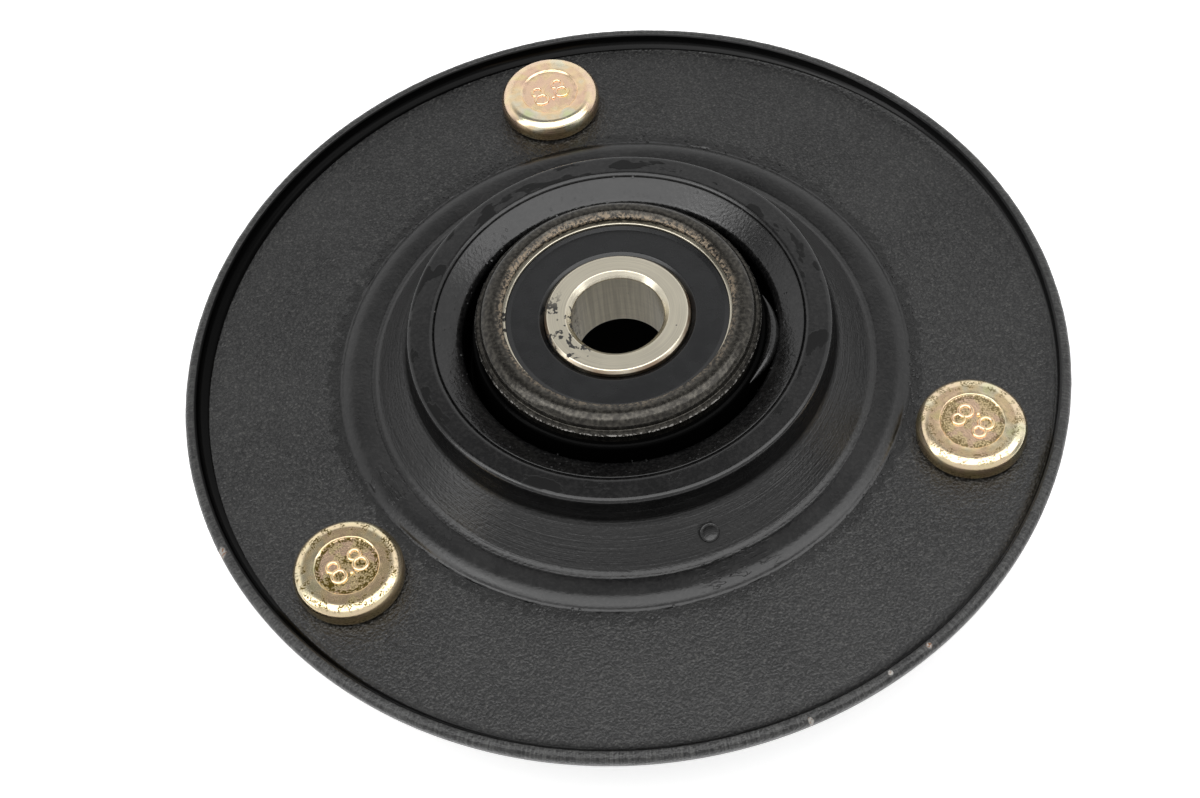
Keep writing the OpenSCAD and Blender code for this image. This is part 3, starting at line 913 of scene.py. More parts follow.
class FormTree(NodeTree):
    """Geometry Nodes tree with named inputs. Its lengths are in metres."""

    def __init__(self, name: str) -> None:
        """Start an empty tree with a geometry input and output.

        Args:
            name: Name of the tree.
        """
        super().__init__(bpy.data.node_groups.new(name, "GeometryNodeTree"))
        face = self.tree.interface
        face.new_socket("Geometry", in_out="OUTPUT", socket_type="NodeSocketGeometry")
        face.new_socket("Geometry", in_out="INPUT", socket_type="NodeSocketGeometry")
        self.entry = self.add("NodeGroupInput")
        self.keys: dict[str, str] = {}

    @property
    def geometry(self) -> Socket:
        """Geometry that the tree is given."""
        return self.entry["Geometry"]

    def given(self, name: str, kind: str = "Float") -> Socket:
        """Add a named input.

        Args:
            name: Name of the input.
            kind: Kind of socket, such as Float, Int or Material.

        Returns:
            The input inside the tree.
        """
        made = self.tree.interface.new_socket(name, in_out="INPUT", socket_type=f"NodeSocket{kind}")
        self.keys[name] = made.identifier
        return self.entry[made.identifier]

    def sample(self, geometry: Socket, kind: str, value: Socket, index: Socket) -> Socket:
        """Value of a field at one point of a geometry."""
        inputs = {"Geometry": geometry, "Value": value, "Index": index}
        return self.add("GeometryNodeSampleIndex", {"data_type": kind}, inputs)["Value"]

    def named(self, name: str, kind: str = "FLOAT") -> Socket:
        """Named attribute of the points."""
        return self.add("GeometryNodeInputNamedAttribute", {"data_type": kind}, {"Name": name})["Attribute"]

    def grid(self, columns: Operand, rows: Operand) -> Socket:
        """Flat grid of points, column by column."""
        return self.add("GeometryNodeMeshGrid", inputs={"Vertices X": columns, "Vertices Y": rows})["Mesh"]

    def placed(self, geometry: Socket, position: Socket) -> Socket:
        """The geometry with its points at a position, and doubles welded."""
        moved = self.add("GeometryNodeSetPosition", inputs={"Geometry": geometry, "Position": position})
        return self.weld(moved["Geometry"])

    def weld(self, geometry: Socket) -> Socket:
        """The geometry with points that lie on each other made one."""
        inputs = {"Geometry": geometry, "Distance": WELD}
        return self.add("GeometryNodeMergeByDistance", inputs=inputs)["Geometry"]

    def turned(
        self,
        outline: Socket,
        segments: Operand,
        closed: bool,
        scale: Operand,
        seed: Operand,
    ) -> Socket:
        """Turn an outline round the Z axis.

        Args:
            outline: Points of the outline, with the attribute ragged.
            segments: Number of steps round the axis.
            closed: Whether the last point joins the first.
            scale: Waves of the ragged edges for each metre.
            seed: Number that picks one pattern.

        Returns:
            The turned surface, with its faces outwards.
        """
        count = self.add("GeometryNodeAttributeDomainSize", inputs={"Geometry": outline})["Point Count"]
        rows = count + float(closed)
        index = self.add("GeometryNodeInputIndex")["Index"]
        station = (index % rows) % count
        position = self.add("GeometryNodeInputPosition")["Position"]
        r, _, z = self.parts(self.sample(outline, "FLOAT_VECTOR", position, station))
        ragged = self.sample(outline, "FLOAT", self.named("ragged"), station)
        turn = (index / rows).floor() * (math.tau / segments)
        cos, sin = turn.cos(), turn.sin()
        ring = self.vector(r * cos, r * sin, z)
        out = r + ragged * (self.noise(ring, scale, 2.0, seed) - 0.5) * 4.0
        up = z + ragged * (self.noise(ring, scale, 2.0, seed + 5.0) - 0.5) * 4.0
        return self.placed(self.grid(segments + 1.0, rows), self.vector(out * cos, out * sin, up))

    def flipped(self, geometry: Socket) -> Socket:
        """The geometry with its faces turned over."""
        return self.add("GeometryNodeFlipFaces", inputs={"Mesh": geometry})["Mesh"]

    def join(self, *parts: Socket) -> Socket:
        """Make several geometries one.

        Args:
            *parts: The geometries.

        Returns:
            All of them together.
        """
        node = self.add("GeometryNodeJoinGeometry")
        for part in parts:
            self.tree.links.new(part.port, node.node.inputs[0])
        return node["Geometry"]

    def end(self, geometry: Socket) -> None:
        """Realize, shade and dress the geometry, and end the tree.

        Args:
            geometry: Result of the tree's other nodes.
        """
        whole = self.add("GeometryNodeRealizeInstances", inputs={"Geometry": geometry})["Geometry"]
        smooth = self.add("GeometryNodeSetShadeSmooth", inputs={"Geometry": whole})["Geometry"]
        crease = self.add("GeometryNodeInputMeshEdgeAngle")["Unsigned Angle"].above(CREASE)
        inputs = {"Geometry": smooth, "Selection": crease, "Shade Smooth": False}
        creased = self.add("GeometryNodeSetShadeSmooth", {"domain": "EDGE"}, inputs)["Geometry"]
        inputs = {"Geometry": creased, "Material": self.given("Material", "Material")}
        dressed = self.add("GeometryNodeSetMaterial", inputs=inputs)["Geometry"]
        self.add("NodeGroupOutput", inputs={"Geometry": dressed})

    def form(self, name: str, base: bpy.types.Mesh, values: Mapping[str, Any]) -> bpy.types.Object:
        """Run the tree and keep its result as a plain mesh.

        Args:
            name: Name of the new piece.
            base: Mesh that the tree is given.
            values: Value of each named input.

        Returns:
            The new piece, at the origin.
        """
        source = bpy.data.objects.new(f"{name}_source", base)
        bpy.context.scene.collection.objects.link(source)
        modifier = source.modifiers.new("form", "NODES")
        modifier.node_group = self.tree
        for label, value in values.items():
            modifier[self.keys[label]] = value
        graph = bpy.context.evaluated_depsgraph_get()
        mesh = bpy.data.meshes.new_from_object(source.evaluated_get(graph), depsgraph=graph)
        bpy.data.objects.remove(source)
        mesh.name = name
        piece = bpy.data.objects.new(name, mesh)
        bpy.context.scene.collection.objects.link(piece)
        return piece


@dataclass
class Workshop:
    """Makes pieces from outlines and seats them on the part."""

    turning: FormTree = field(init=False)

    def __post_init__(self) -> None:
        """Build the tree that turns an outline."""
        tree = FormTree("turned_piece")
        segments = tree.given("Segments", "Int")
        scale = tree.given("Ragged Scale")
        seed = tree.given("Seed")
        tree.end(tree.turned(tree.geometry, segments, True, scale, seed))
        self.turning = tree

    def turn(
        self,
        name: str,
        outline: Outline,
        material: bpy.types.Material,
        segments: int = 256,
        scale: float = 900.0,
        seed: float = 1.0,
    ) -> bpy.types.Object:
        """Turn a closed outline into a piece.

        Args:
            name: Name of the piece.
            outline: Closed half section.
            material: Material of the piece.
            segments: Number of steps round the axis.
            scale: Waves of the ragged edges for each metre.
            seed: Number that picks one pattern.

        Returns:
            The new piece.
        """
        values = {"Segments": segments, "Ragged Scale": scale, "Seed": seed, "Material": material}
        return self.turning.form(name, outline.mesh(name), values)

    @staticmethod
    def seat(piece: bpy.types.Object, body: Body, slot: Slot, *nodes: str) -> None:
        """Let a piece ride on a body and stand for nodes.

        Args:
            piece: Finished piece.
            body: Body that it moves with.
            slot: Not used.
            *nodes: Nodes that it stands for.
        """
        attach(piece, body.value)
        if nodes:
            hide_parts(*nodes)
        faces = len(piece.data.polygons)
        LOG.info("%s: %d faces, rides on %s", piece.name, faces, body.value)


@dataclass
class FlangePlate:
    """Pressed plate with a turned-up rim and a drawn collar. Lengths are in millimetres."""

    shop: Workshop
    sheet: float = 2.0
    rim_bend: float = 1.0
    rim_fill: float = 1.9
    rim_round: float = 0.3
    rim_worn: float = 1.1
    rim_top: float = 4.2
    collar_in: float = 31.3
    collar_bend: float = 5.0
    collar_round: float = 0.2
    chips: tuple[Chip, ...] = (
        Chip(196.6, 72.6, 0.9),
        Chip(290.8, 72.1, 0.5),
        Chip(296.6, 72.1, 0.55),
        Chip(279.6, 72.7, 0.4),
    )
    segments: int = 840
    edge: float = field(init=False)
    collar_top: float = field(init=False)

    def __post_init__(self) -> None:
        """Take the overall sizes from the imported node."""
        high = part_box("flange_plate")[1] / MM
        self.edge = high.x
        self.collar_top = high.z

    def outline(self) -> Outline:
        """Half section of the plate.

        Returns:
            The closed outline.
        """
        collar_out = self.collar_in + self.sheet
        rim_in = self.edge - self.sheet
        return Outline([
            Corner(self.collar_in, 0.0, self.collar_bend + self.sheet),
            Corner(self.edge, 0.0, self.rim_bend + self.sheet),
            Corner(self.edge, self.rim_top, self.rim_worn, 0.04),
            Corner(rim_in, self.rim_top, self.rim_round, 0.03),
            Corner(rim_in, self.sheet, self.rim_fill),
            Corner(collar_out, self.sheet, self.collar_bend),
            Corner(collar_out, self.collar_top, self.collar_round),
            Corner(self.collar_in, self.collar_top, self.collar_round),
        ])

    def build(self) -> None:
        """Make the plate and seat it."""
        paint = BlackPaint("black_paint", chips=self.chips).material()
        piece = self.shop.turn("flange_plate_painted", self.outline(), paint, self.segments, 700.0, 3.0)
        self.shop.seat(piece, Body.MOUNT, Slot.PAINT, "flange_plate")


@dataclass(frozen=True)
class CrumbBand:
    """A band of small crumbs, with sizes in millimetres, density per square metre and patches per metre."""

    name: str
    density: float
    patch: float
    least: float
    most: float
    seed: int


@dataclass
class RubberBush:
    """Rubber moulding on the plate's collar and round the cup, in millimetres and degrees."""

    shop: Workshop
    plate: FlangePlate
    skirt: float = 46.8
    skirt_edge: float = 0.25
    flash: float = 0.6
    bead_lead: float = 2.1
    bead_h: float = 0.9
    bead_foot: float = 0.55
    cone_foot: float = 41.1
    foot_round: float = 1.5
    cone_top: tuple[float, float] = (35.3, 8.6)
    top_round: float = 2.0
    ring_out: float = 34.4
    ring_in: float = 30.2
    ring_top: float = 13.5
    ring_edge: float = 0.8
    mouth_edge: float = 1.0
    crease_w: float = 0.3
    crease_h: float = 0.3
    dish_slope: float = 27.0
    dish_round: float = 1.6
    groove_in: float = 24.43
    groove_round: float = 0.6
    groove_floor: float = 3.0
    sleeve_out: float = 23.93
    sleeve_top: float = 12.3
    sleeve_round: float = 0.8
    cup_out: float = 22.83
    cup_back: float = 0.5
    cup_bend: float = 2.6
    back_hole: float = 17.5
    back_z: float = -3.0
    back_bevel: float = 1.0
    back_flat: float = 26.4
    back_slope: float = 32.4
    back_edge: float = 35.8
    nib_r: float = 1.6
    nib_h: float = 0.7
    nib_rim: float = 0.4
    nib_dish: float = 0.3
    nib_angle: float = 278.0
    fold_start: float = -44.0
    fold_sweep: float = 46.0
    fold_w: float = 1.1
    fold_swell: float = 1.1
    fold_sink: float = 0.1
    fold_drop: float = 1.4
    crumb_reach: tuple[float, float] = (2.4, 0.2)
    crumbs: CrumbBand = CrumbBand("skirt_flash", 1.6e6, 200.0, 0.08, 0.34, 11)
    pimples: CrumbBand = CrumbBand("wall_pimples", 4.0e5, 120.0, 0.08, 0.26, 5)
    segments: int = 480

    def _hidden_edge(self) -> list[Corner]:
        """Contact with the plate, from the back over the collar to the skirt.

        Returns:
            Corners in the order of the outline.
        """
        sheet, collar_in, top = self.plate.sheet, self.plate.collar_in, self.plate.collar_top
        bend = self.plate.collar_bend + sheet
        middle = collar_in + bend
        start = 180.0 + math.degrees(math.acos((middle - self.back_edge) / bend))
        along = arc(middle, bend, bend, start, 180.0, 6)
        return [
            Corner(self.back_edge, along[0].z / 2, 0.05),
            *along,
            Corner(collar_in, top),
            Corner(collar_in + sheet, top),
            Corner(collar_in + sheet, sheet, self.plate.collar_bend),
            Corner(self.skirt + self.flash, sheet, 0.0, 0.2),
        ]

    def _bead(self) -> list[Corner]:
        """Crowned bead on the plate, from its outer edge to the cone's foot.

        Returns:
            Corners in the order of the outline.
        """
        sheet = self.plate.sheet
        crest = self.skirt - self.bead_lead
        run = crest - self.cone_foot
        outer = crown(self.bead_lead, self.bead_h - self.skirt_edge)
        inner = crown(run, self.bead_h - self.bead_foot)
        lead = math.degrees(math.asin(self.bead_lead / outer))
        fall = math.degrees(math.asin(run / inner))
        top = sheet + self.bead_h
        hollow = crown(self.flash, self.skirt_edge)
        thin = math.degrees(math.asin(self.flash / hollow))
        return [
            *arc(self.skirt + self.flash, sheet + hollow, hollow, -90.0, -90.0 - thin, 5)[1:],
            *arc(crest, top - outer, outer, 90.0 - lead, 90.0)[1:],
            *arc(crest, top - inner, inner, 90.0, 90.0 + fall)[1:-2],
            Corner(self.cone_foot, sheet + self.bead_foot, self.foot_round),
        ]

    def _dish(self) -> list[Corner]:
        """Dished wall between the raised ring and the groove.

        Returns:
            Corners in the order of the outline.
        """
        mouth_z = self.ring_top - self.mouth_edge * (1 - math.sqrt(0.5))
        edge = self.ring_in - self.crease_w
        groove_out = self.groove_in + 2 * self.groove_round
        fall = math.tan(math.radians(self.dish_slope))
        mouth_r = self.ring_in + self.mouth_edge * math.sqrt(0.5)
        mouth = arc(mouth_r, self.ring_top - self.mouth_edge, self.mouth_edge, 90.0, 135.0, 5)
        return [
            *mouth,
            Corner(self.ring_in - self.crease_w / 2, mouth_z - self.crease_h),
            Corner(edge, mouth_z, 0.1),
            Corner(groove_out, mouth_z - (edge - groove_out) * fall, self.dish_round),
        ]

    def outline(self) -> Outline:
        """Half section of the rubber, with the plate's collar and the cup left out.

        Returns:
            The closed outline.
        """
        groove_out = self.groove_in + 2 * self.groove_round
        return Outline([
            Corner(self.back_hole + self.back_bevel, self.back_z, 0.2),
            Corner(self.back_flat, self.back_z, 1.0),
            Corner(self.back_slope, 0.0, 1.5),
            *self._hidden_edge(),
            *self._bead(),
            Corner(*self.cone_top, self.top_round),
            Corner(self.ring_out, self.ring_top, self.ring_edge),
            *self._dish(),
            Corner(groove_out, self.groove_floor, self.groove_round * 0.98),
            Corner(self.groove_in, self.groove_floor, self.groove_round * 0.98),
            Corner(self.sleeve_out, self.sleeve_top, self.sleeve_round),
            Corner(self.cup_out, self.sleeve_top),
            Corner(self.cup_out, self.cup_back, self.cup_bend),
            Corner(self.back_hole, self.cup_back),
            Corner(self.back_hole, self.back_z + self.back_bevel, 0.2),
        ])

    def _nib(self, rubber: bpy.types.Material) -> None:
        """Set the moulding nib on the cone.

        Args:
            rubber: Material of the rubber.
        """
        hollow = self.nib_r - self.nib_rim
        ball = crown(hollow, self.nib_dish)
        dip = math.degrees(math.asin(hollow / ball))
        bowl = arc(0.0, self.nib_h - self.nib_dish + ball, ball, dip - 90.0, -90.0, 5)
        outline = Outline([
            Corner(0.0, -self.nib_r / 2),
            Corner(self.nib_r, -self.nib_r / 2),
            Corner(self.nib_r, self.nib_h, 0.22),
            Corner(bowl[0].r, bowl[0].z, 0.1),
            *bowl[1:],
        ], hold=0.05)
        piece = self.shop.turn("moulding_nib", outline, rubber, 64)
        foot = Vector((self.cone_foot, 0.0, self.plate.sheet + self.bead_foot))
        top = Vector((self.cone_top[0], 0.0, self.cone_top[1]))
        tilt = math.atan2(top.z - foot.z, foot.x - top.x)
        seat = Matrix.Translation((foot + top) / 2 * MM) @ Matrix.Rotation(tilt, 4, "Y")
        piece.data.transform(Matrix.Rotation(math.radians(self.nib_angle), 4, "Z") @ seat)
        self.shop.seat(piece, Body.MOUNT, Slot.RUBBER)

    def _fold(self, rubber: bpy.types.Material) -> None:
        """Lay the fold of rubber on the sleeve.

        Args:
            rubber: Material of the rubber.
        """
        values = {
            "Steps": 72,
            "Sides": 24,
            "Start Angle": math.radians(self.fold_start),
            "Sweep Angle": math.radians(self.fold_sweep),
            "Root Radius": (self.sleeve_out - self.fold_sink) * MM,
            "Height": (self.sleeve_top - self.fold_drop) * MM,
            "Width": self.fold_w * MM,
            "Swell": self.fold_swell * MM,
            "Material": rubber,
        }
        base = bpy.data.meshes.new("sleeve_fold")
        piece = FoldForm().form("sleeve_fold", base, values)
        self.shop.seat(piece, Body.MOUNT, Slot.RUBBER)

    def _crumbs(self, rubber: bpy.types.Material) -> None:
        """Scatter flash round the skirt and pimples on the dished wall.

        Args:
            rubber: Material of the rubber.
        """
        tree = CrumbForm()
        sheet = self.plate.sheet
        around = [Corner(self.skirt + reach, sheet) for reach in self.crumb_reach]
        wall = self._dish()[-2:]
        for band, strip in ((self.crumbs, around), (self.pimples, wall)):
            values = {
                "Segments": 256,
                "Density": band.density,
                "Patch Scale": band.patch,
                "Least Size": band.least * MM,
                "Largest Size": band.most * MM,
                "Seed": band.seed,
                "Material": rubber,
            }
            piece = tree.form(band.name, Outline(strip, closed=False).mesh(band.name), values)
            self.shop.seat(piece, Body.MOUNT, Slot.RUBBER)

    def build(self) -> None:
        """Make the moulding with its nib, fold and flash, and seat them."""
        rubber = MouldedRubber("moulded_rubber").material()
        piece = self.shop.turn("rubber_bush_moulded", self.outline(), rubber, self.segments, 350.0, 5.0)
        self.shop.seat(piece, Body.MOUNT, Slot.RUBBER, "rubber_bush")
        glossy = MouldedRubber("glossy_rubber", rough=0.10, well=(0.0, 0.0)).material()
        self._nib(glossy)
        self._fold(glossy)
        self._crumbs(rubber)


@dataclass
class BearingCup:
    """Drawn cup with a rolled lip over the bearing. Lengths are in millimetres."""

    shop: Workshop
    hole: float = 15.5
    back: float = 0.5
    sheet: float = 1.8
    inner: float = 21.03
    bend: float = 0.8
    burr_r: float = 23.18
    burr_z: float = 14.3
    burr_h: float = 0.35
    foot_r: float = 22.38
    foot_z: float = 14.85
    lip_round: float = 2.05
    crest: float = 16.9
    crest_w: float = 0.6
    crest_round: float = 1.0
    lip_edge: float = 18.5
    lip_edge_z: float = 16.39
    seat_z: float = 15.33
    seat_bevel: float = 1.0
    segments: int = 720

    def outline(self) -> Outline:
        """Half section of the cup.

        Returns:
            The closed outline.
        """
        outer = self.inner + self.sheet
        return Outline([
            Corner(self.hole, self.back, 0.1),
            Corner(outer, self.back, self.bend + self.sheet),
            Corner(outer, self.burr_z - self.burr_h, 0.0, 0.02),
            Corner(self.burr_r, self.burr_z, 0.0, 0.06),
            Corner(outer, self.foot_z, 0.0, 0.05),
            Corner(self.foot_r, self.foot_z, 0.1, 0.02),
            Corner(self.foot_r, self.crest, self.lip_round),
            Corner(self.foot_r - self.lip_round - self.crest_w, self.crest, self.crest_round),
            Corner(self.lip_edge, self.lip_edge_z, 0.4, 0.03),
            Corner(self.lip_edge, self.seat_z, 0.0, 0.04),
            Corner(self.inner - self.seat_bevel, self.seat_z),
            Corner(self.inner, self.seat_z - self.seat_bevel),
            Corner(self.inner, self.back + self.sheet, self.bend),
            Corner(self.hole, self.back + self.sheet, 0.1),
        ])

    def build(self) -> None:
        """Make the cup and seat it."""
        steel = CupSteel("cup_steel").material()
        piece = self.shop.turn("bearing_cup_crimped", self.outline(), steel, self.segments, 1600.0, 2.0)
        self.shop.seat(piece, Body.MOUNT, Slot.CUP, "bearing_cup")


@dataclass
class BallBearing:
    """Rings and seals of the bearing, and the finish of its cage and balls. Lengths are in millimetres."""

    shop: Workshop
    pitch_r: float = 14.25
    race: float = 4.019
    bore_chamfer: float = 0.9
    land_chamfer: float = 0.5
    rim_chamfer: float = 1.0
    outer_land: float = 16.85
    seal_seat: float = 18.1
    bead_groove: float = 0.3
    pocket: float = 1.5
    seal_set: float = 0.7
    seal_t: float = 0.6
    seal_gap: float = 0.1
    seal_fit: float = 0.05
    lip_w: float = 0.8
    segments: int = 256
    bore: float = field(init=False)
    land: float = field(init=False)
    rim: float = field(init=False)
    low: float = field(init=False)
    high: float = field(init=False)

    def __post_init__(self) -> None:
        """Take the rings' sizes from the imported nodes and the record."""
        mounts = {mount["name"]: mount for mount in frame["record"]["mounts"]}
        low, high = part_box("inner_ring")
        self.bore = mounts["rod_bore"]["dims"]["r_mm"]
        self.land = high.x / MM
        self.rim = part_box("outer_ring")[1].x / MM
        self.low, self.high = low.z / MM, high.z / MM

    def _mirrored(self, front: Sequence[Corner]) -> Outline:
        """Close a ring's outline from the corners of its front half.

        Args:
            front: Corners of the front half, in the order of the whole outline.

        Returns:
            The closed outline.
        """
        total = self.low + self.high
        back = [Corner(c.r, total - c.z, c.bend, c.ragged) for c in reversed(front)]
        return Outline([*back, *front], step=8.0)

    def _race(self, land: float, side: float) -> list[Corner]:
        """Front half of the ball race.

        Args:
            land: Radius of the shoulder that the race is cut into.
            side: One for the outer ring, minus one for the inner ring.

        Returns:
            Points from the shoulder to the bottom of the race.
        """
        middle = (self.low + self.high) / 2
        start = math.acos((land - self.pitch_r) * side / self.race)
        turns = [start * i / 9 for i in range(9, -1, -1)]
        return [
            Corner(self.pitch_r + side * self.race * math.cos(t), middle + self.race * math.sin(t))
            for t in turns
        ]

    def inner_outline(self) -> Outline:
        """Outline of the inner ring.

        Returns:
            The closed outline.
        """
        edge = self.land_chamfer
        race = list(reversed(self._race(self.land, -1.0)))
        return self._mirrored([
            *race[1:],
            Corner(self.land, self.high - edge, 0.2),
            Corner(self.land - edge, self.high, 0.3),
            Corner(self.bore + self.bore_chamfer, self.high, 0.25),
            Corner(self.bore, self.high - self.bore_chamfer, 0.4),
        ])

    def outer_outline(self) -> Outline:
        """Outline of the outer ring.

        Returns:
            The closed outline.
        """
        groove = self.seal_seat + self.bead_groove
        pocket = self.high - self.pocket
        top = self.high - self.seal_set
        return self._mirrored([
            Corner(self.rim, self.high - self.rim_chamfer, 0.3),
            Corner(self.rim - self.rim_chamfer, self.high, 0.3),
            Corner(self.seal_seat, self.high, 0.15),
            Corner(self.seal_seat, top + self.bead_groove),
            Corner(groove, top),
            Corner(groove, pocket),
            Corner(self.outer_land, pocket, 0.15),
            *self._race(self.outer_land, 1.0)[:-1],
        ])

    def seal_outline(self, front: bool) -> Outline:
        """Outline of a seal.

        Args:
            front: Whether the seal lies at the front of the bearing.

        Returns:
            The closed outline.
        """
        fit = self.seal_fit
        lip = self.land + self.seal_gap
        bead = self.seal_seat + self.bead_groove - fit
        top = self.high - self.seal_set
        web = top - self.seal_t
        pocket = self.high - self.pocket
        corners = [
            Corner(lip, web - self.seal_t, 0.1),
            Corner(lip + self.lip_w / 2, web - self.seal_t, 0.1),
            Corner(lip + self.lip_w, web, 0.2),
            Corner(bead - self.lip_w, web, 0.2),
            Corner(bead - self.lip_w / 2, pocket + fit),
            Corner(bead, pocket + fit),
            Corner(bead, top - fit),
            Corner(self.seal_seat - fit, top + self.bead_groove - 2 * fit, 0.05),
            Corner(self.seal_seat - self.lip_w, top, 0.3),
            Corner(lip + self.lip_w, top, 0.3),
            Corner(lip, web, 0.15),
        ]
        if front:
            return Outline(corners)
        total = self.low + self.high
        return Outline([Corner(c.r, total - c.z, c.bend) for c in reversed(corners)])

    def build(self) -> None:
        """Make the rings and seals, and dress the cage and the balls."""
        steel = RingSteel("ring_steel").material()
        seal = SealRubber("seal_rubber").material()
        inner = self.shop.turn("inner_ring_ground", self.inner_outline(), steel, self.segments)
        self.shop.seat(inner, Body.ROD_RING, Slot.RING, "inner_ring")
        outer = self.shop.turn("outer_ring_ground", self.outer_outline(), steel, self.segments)
        self.shop.seat(outer, Body.MOUNT, Slot.RING, "outer_ring")
        for node in ("seal_front", "seal_back"):
            outline = self.seal_outline(node == "seal_front")
            piece = self.shop.turn(f"{node}_moulded", outline, seal, self.segments)
            self.shop.seat(piece, Body.MOUNT, Slot.SEAL, node)
        ball = PlainSteel("ball_steel", rough=0.12, grain=0.001).material()
        cage = PlainSteel("cage_steel", colour=(0.5, 0.48, 0.44), rough=0.34, grain=0.006).material()
        for name, node in frame["nodes"].items():
            if name.startswith(("ball_", "cage_")):
                node.data.materials.clear()
                node.data.materials.append(ball if name.startswith("ball_") else cage)
                LOG.info("%s: dressed", name)


class StudForm(FormTree):
    """Tree of a press-in stud with a rolled thread and raised numerals, set at each given place."""

    def __init__(self) -> None:
        """Build the tree with its named inputs."""
        super().__init__("press_in_stud")
        segments = self.given("Segments", "Int")
        head = self.given("Head Outline", "Object")
        head_points = self.add("GeometryNodeObjectInfo", inputs={"Object": head})["Geometry"]
        scale, seed = self.given("Ragged Scale"), self.given("Seed")
        body = self.turned(head_points, segments, False, scale, seed)
        stud = self.join(body, self._thread(segments), self._numerals())
        own = self.add("GeometryNodeInputPosition")["Position"]
        settings = {"data_type": "FLOAT_VECTOR", "domain": "POINT"}
        inputs = {"Geometry": self.weld(stud), "Name": "stud_place", "Value": own}
        marked = self.add("GeometryNodeStoreNamedAttribute", settings, inputs)["Geometry"]
        turn = self.vector(0.0, 0.0, self.named("turn"))
        inputs = {"Points": self.geometry, "Instance": marked, "Rotation": turn}
        self.end(self.add("GeometryNodeInstanceOnPoints", inputs=inputs)["Instances"])

    def _thread(self, segments: Socket) -> Socket:
        """Rolled thread with a chamfered tip and a run-out at its top.

        Args:
            segments: Number of steps in a turn.

        Returns:
            The thread's surface with a flat tip.
        """
        major, depth = self.given("Thread Radius"), self.given("Thread Depth")
        pitch, length = self.given("Thread Pitch"), self.given("Shank Length")
        chamfer, runout = self.given("Tip Chamfer"), self.given("Thread Run-out")
        rows = 5.0
        turns = (length / pitch).floor() + 4.0
        index = self.add("GeometryNodeInputIndex")["Index"]
        column, row = (index / rows).floor(), index % rows
        share = row.above(0.5) * 0.25 + row.above(1.5) * 0.3125
        share = share + row.above(2.5) * 0.125 + row.above(3.5) * 0.3125
        crest = row.above(1.5) - row.above(3.5)
        free = pitch - pitch * (column / segments + share)
        z = free.least(0.0).most(length * -1.0)
        root = depth * (1.0 - crest) * (free / runout * -1.0).least(1.0).most(0.0)
        r = (major - root).least(major - chamfer + z + length)
        turn = column * (math.tau / segments)
        grid = self.grid(segments * turns + 1.0, rows)
        side = self.flipped(self.placed(grid, self.vector(r * turn.cos(), r * turn.sin(), z)))
        inputs = {"Vertices": segments, "Radius": major - chamfer}
        disc = self.add("GeometryNodeMeshCircle", {"fill_type": "NGON"}, inputs)
        inputs = {"Geometry": disc["Mesh"], "Translation": self.vector(0.0, 0.0, length * -1.0)}
        tip = self.add("GeometryNodeTransform", inputs=inputs)["Geometry"]
        return self.join(side, self.flipped(tip))

    def _numerals(self) -> Socket:
        """Raised numerals on the recess floor: two figures of two loops each, and a dot.

        Returns:
            The numerals' surfaces.
        """
        floor, stroke = self.given("Floor Height"), self.given("Numeral Stroke")
        loop, gap = self.given("Numeral Loop"), self.given("Numeral Gap")
        circle = "GeometryNodeCurvePrimitiveCircle"
        bead = self.add(circle, inputs={"Resolution": 12, "Radius": stroke})["Curve"]
        ring = self.add(circle, inputs={"Resolution": 40, "Radius": loop})["Curve"]
        tube = self.add("GeometryNodeCurveToMesh", inputs={"Curve": ring, "Profile Curve": bead})["Mesh"]
        inputs = {"Segments": 16, "Rings": 10, "Radius": stroke * 1.3}
        dot = self.add("GeometryNodeMeshUVSphere", inputs=inputs)["Mesh"]
        parts = []
        for across in (-1.0, 1.0):
            for up, width in ((-0.94, 1.08), (0.94, 0.94)):
                inputs = {
                    "Geometry": tube,
                    "Translation": self.vector(gap * across, loop * up, floor),
                    "Scale": (width, width, 1.0),
                }
                parts.append(self.add("GeometryNodeTransform", inputs=inputs)["Geometry"])
        inputs = {"Geometry": dot, "Translation": self.vector(0.0, loop * -1.6, floor)}
        parts.append(self.add("GeometryNodeTransform", inputs=inputs)["Geometry"])
        return self.join(*parts)


class CrumbForm(FormTree):
    """Tree that scatters small crumbs over a turned strip, thicker in some places than in others."""

    def __init__(self) -> None:
        """Build the tree with its named inputs."""
        super().__init__("moulding_crumbs")
        segments = self.given("Segments", "Int")
        density = self.given("Density")
        patch = self.given("Patch Scale")
        least, most = self.given("Least Size"), self.given("Largest Size")
        seed = self.given("Seed", "Int")
        strip = self.turned(self.geometry, segments, False, 1.0, 0.0)
        position = self.add("GeometryNodeInputPosition")["Position"]
        thick = self.noise(position, patch, 2.0, 3.0).rise(0.42, 0.62)
        inputs = {"Mesh": strip, "Density": density * thick, "Seed": seed}
        points = self.add("GeometryNodeDistributePointsOnFaces", inputs=inputs)
        inputs = {"Min_001": least, "Max_001": most, "Seed": seed}
        size = self.add("FunctionNodeRandomValue", {"data_type": "FLOAT"}, inputs)
        crumb = self.add("GeometryNodeMeshIcoSphere", inputs={"Radius": 1.0, "Subdivisions": 1})["Mesh"]
        width = size["Value_001"]
        inputs = {
            "Points": points["Points"],
            "Instance": crumb,
            "Rotation": points["Rotation"],
            "Scale": self.vector(width, width * 1.4, width * 0.7),
        }
        self.end(self.add("GeometryNodeInstanceOnPoints", inputs=inputs)["Instances"])


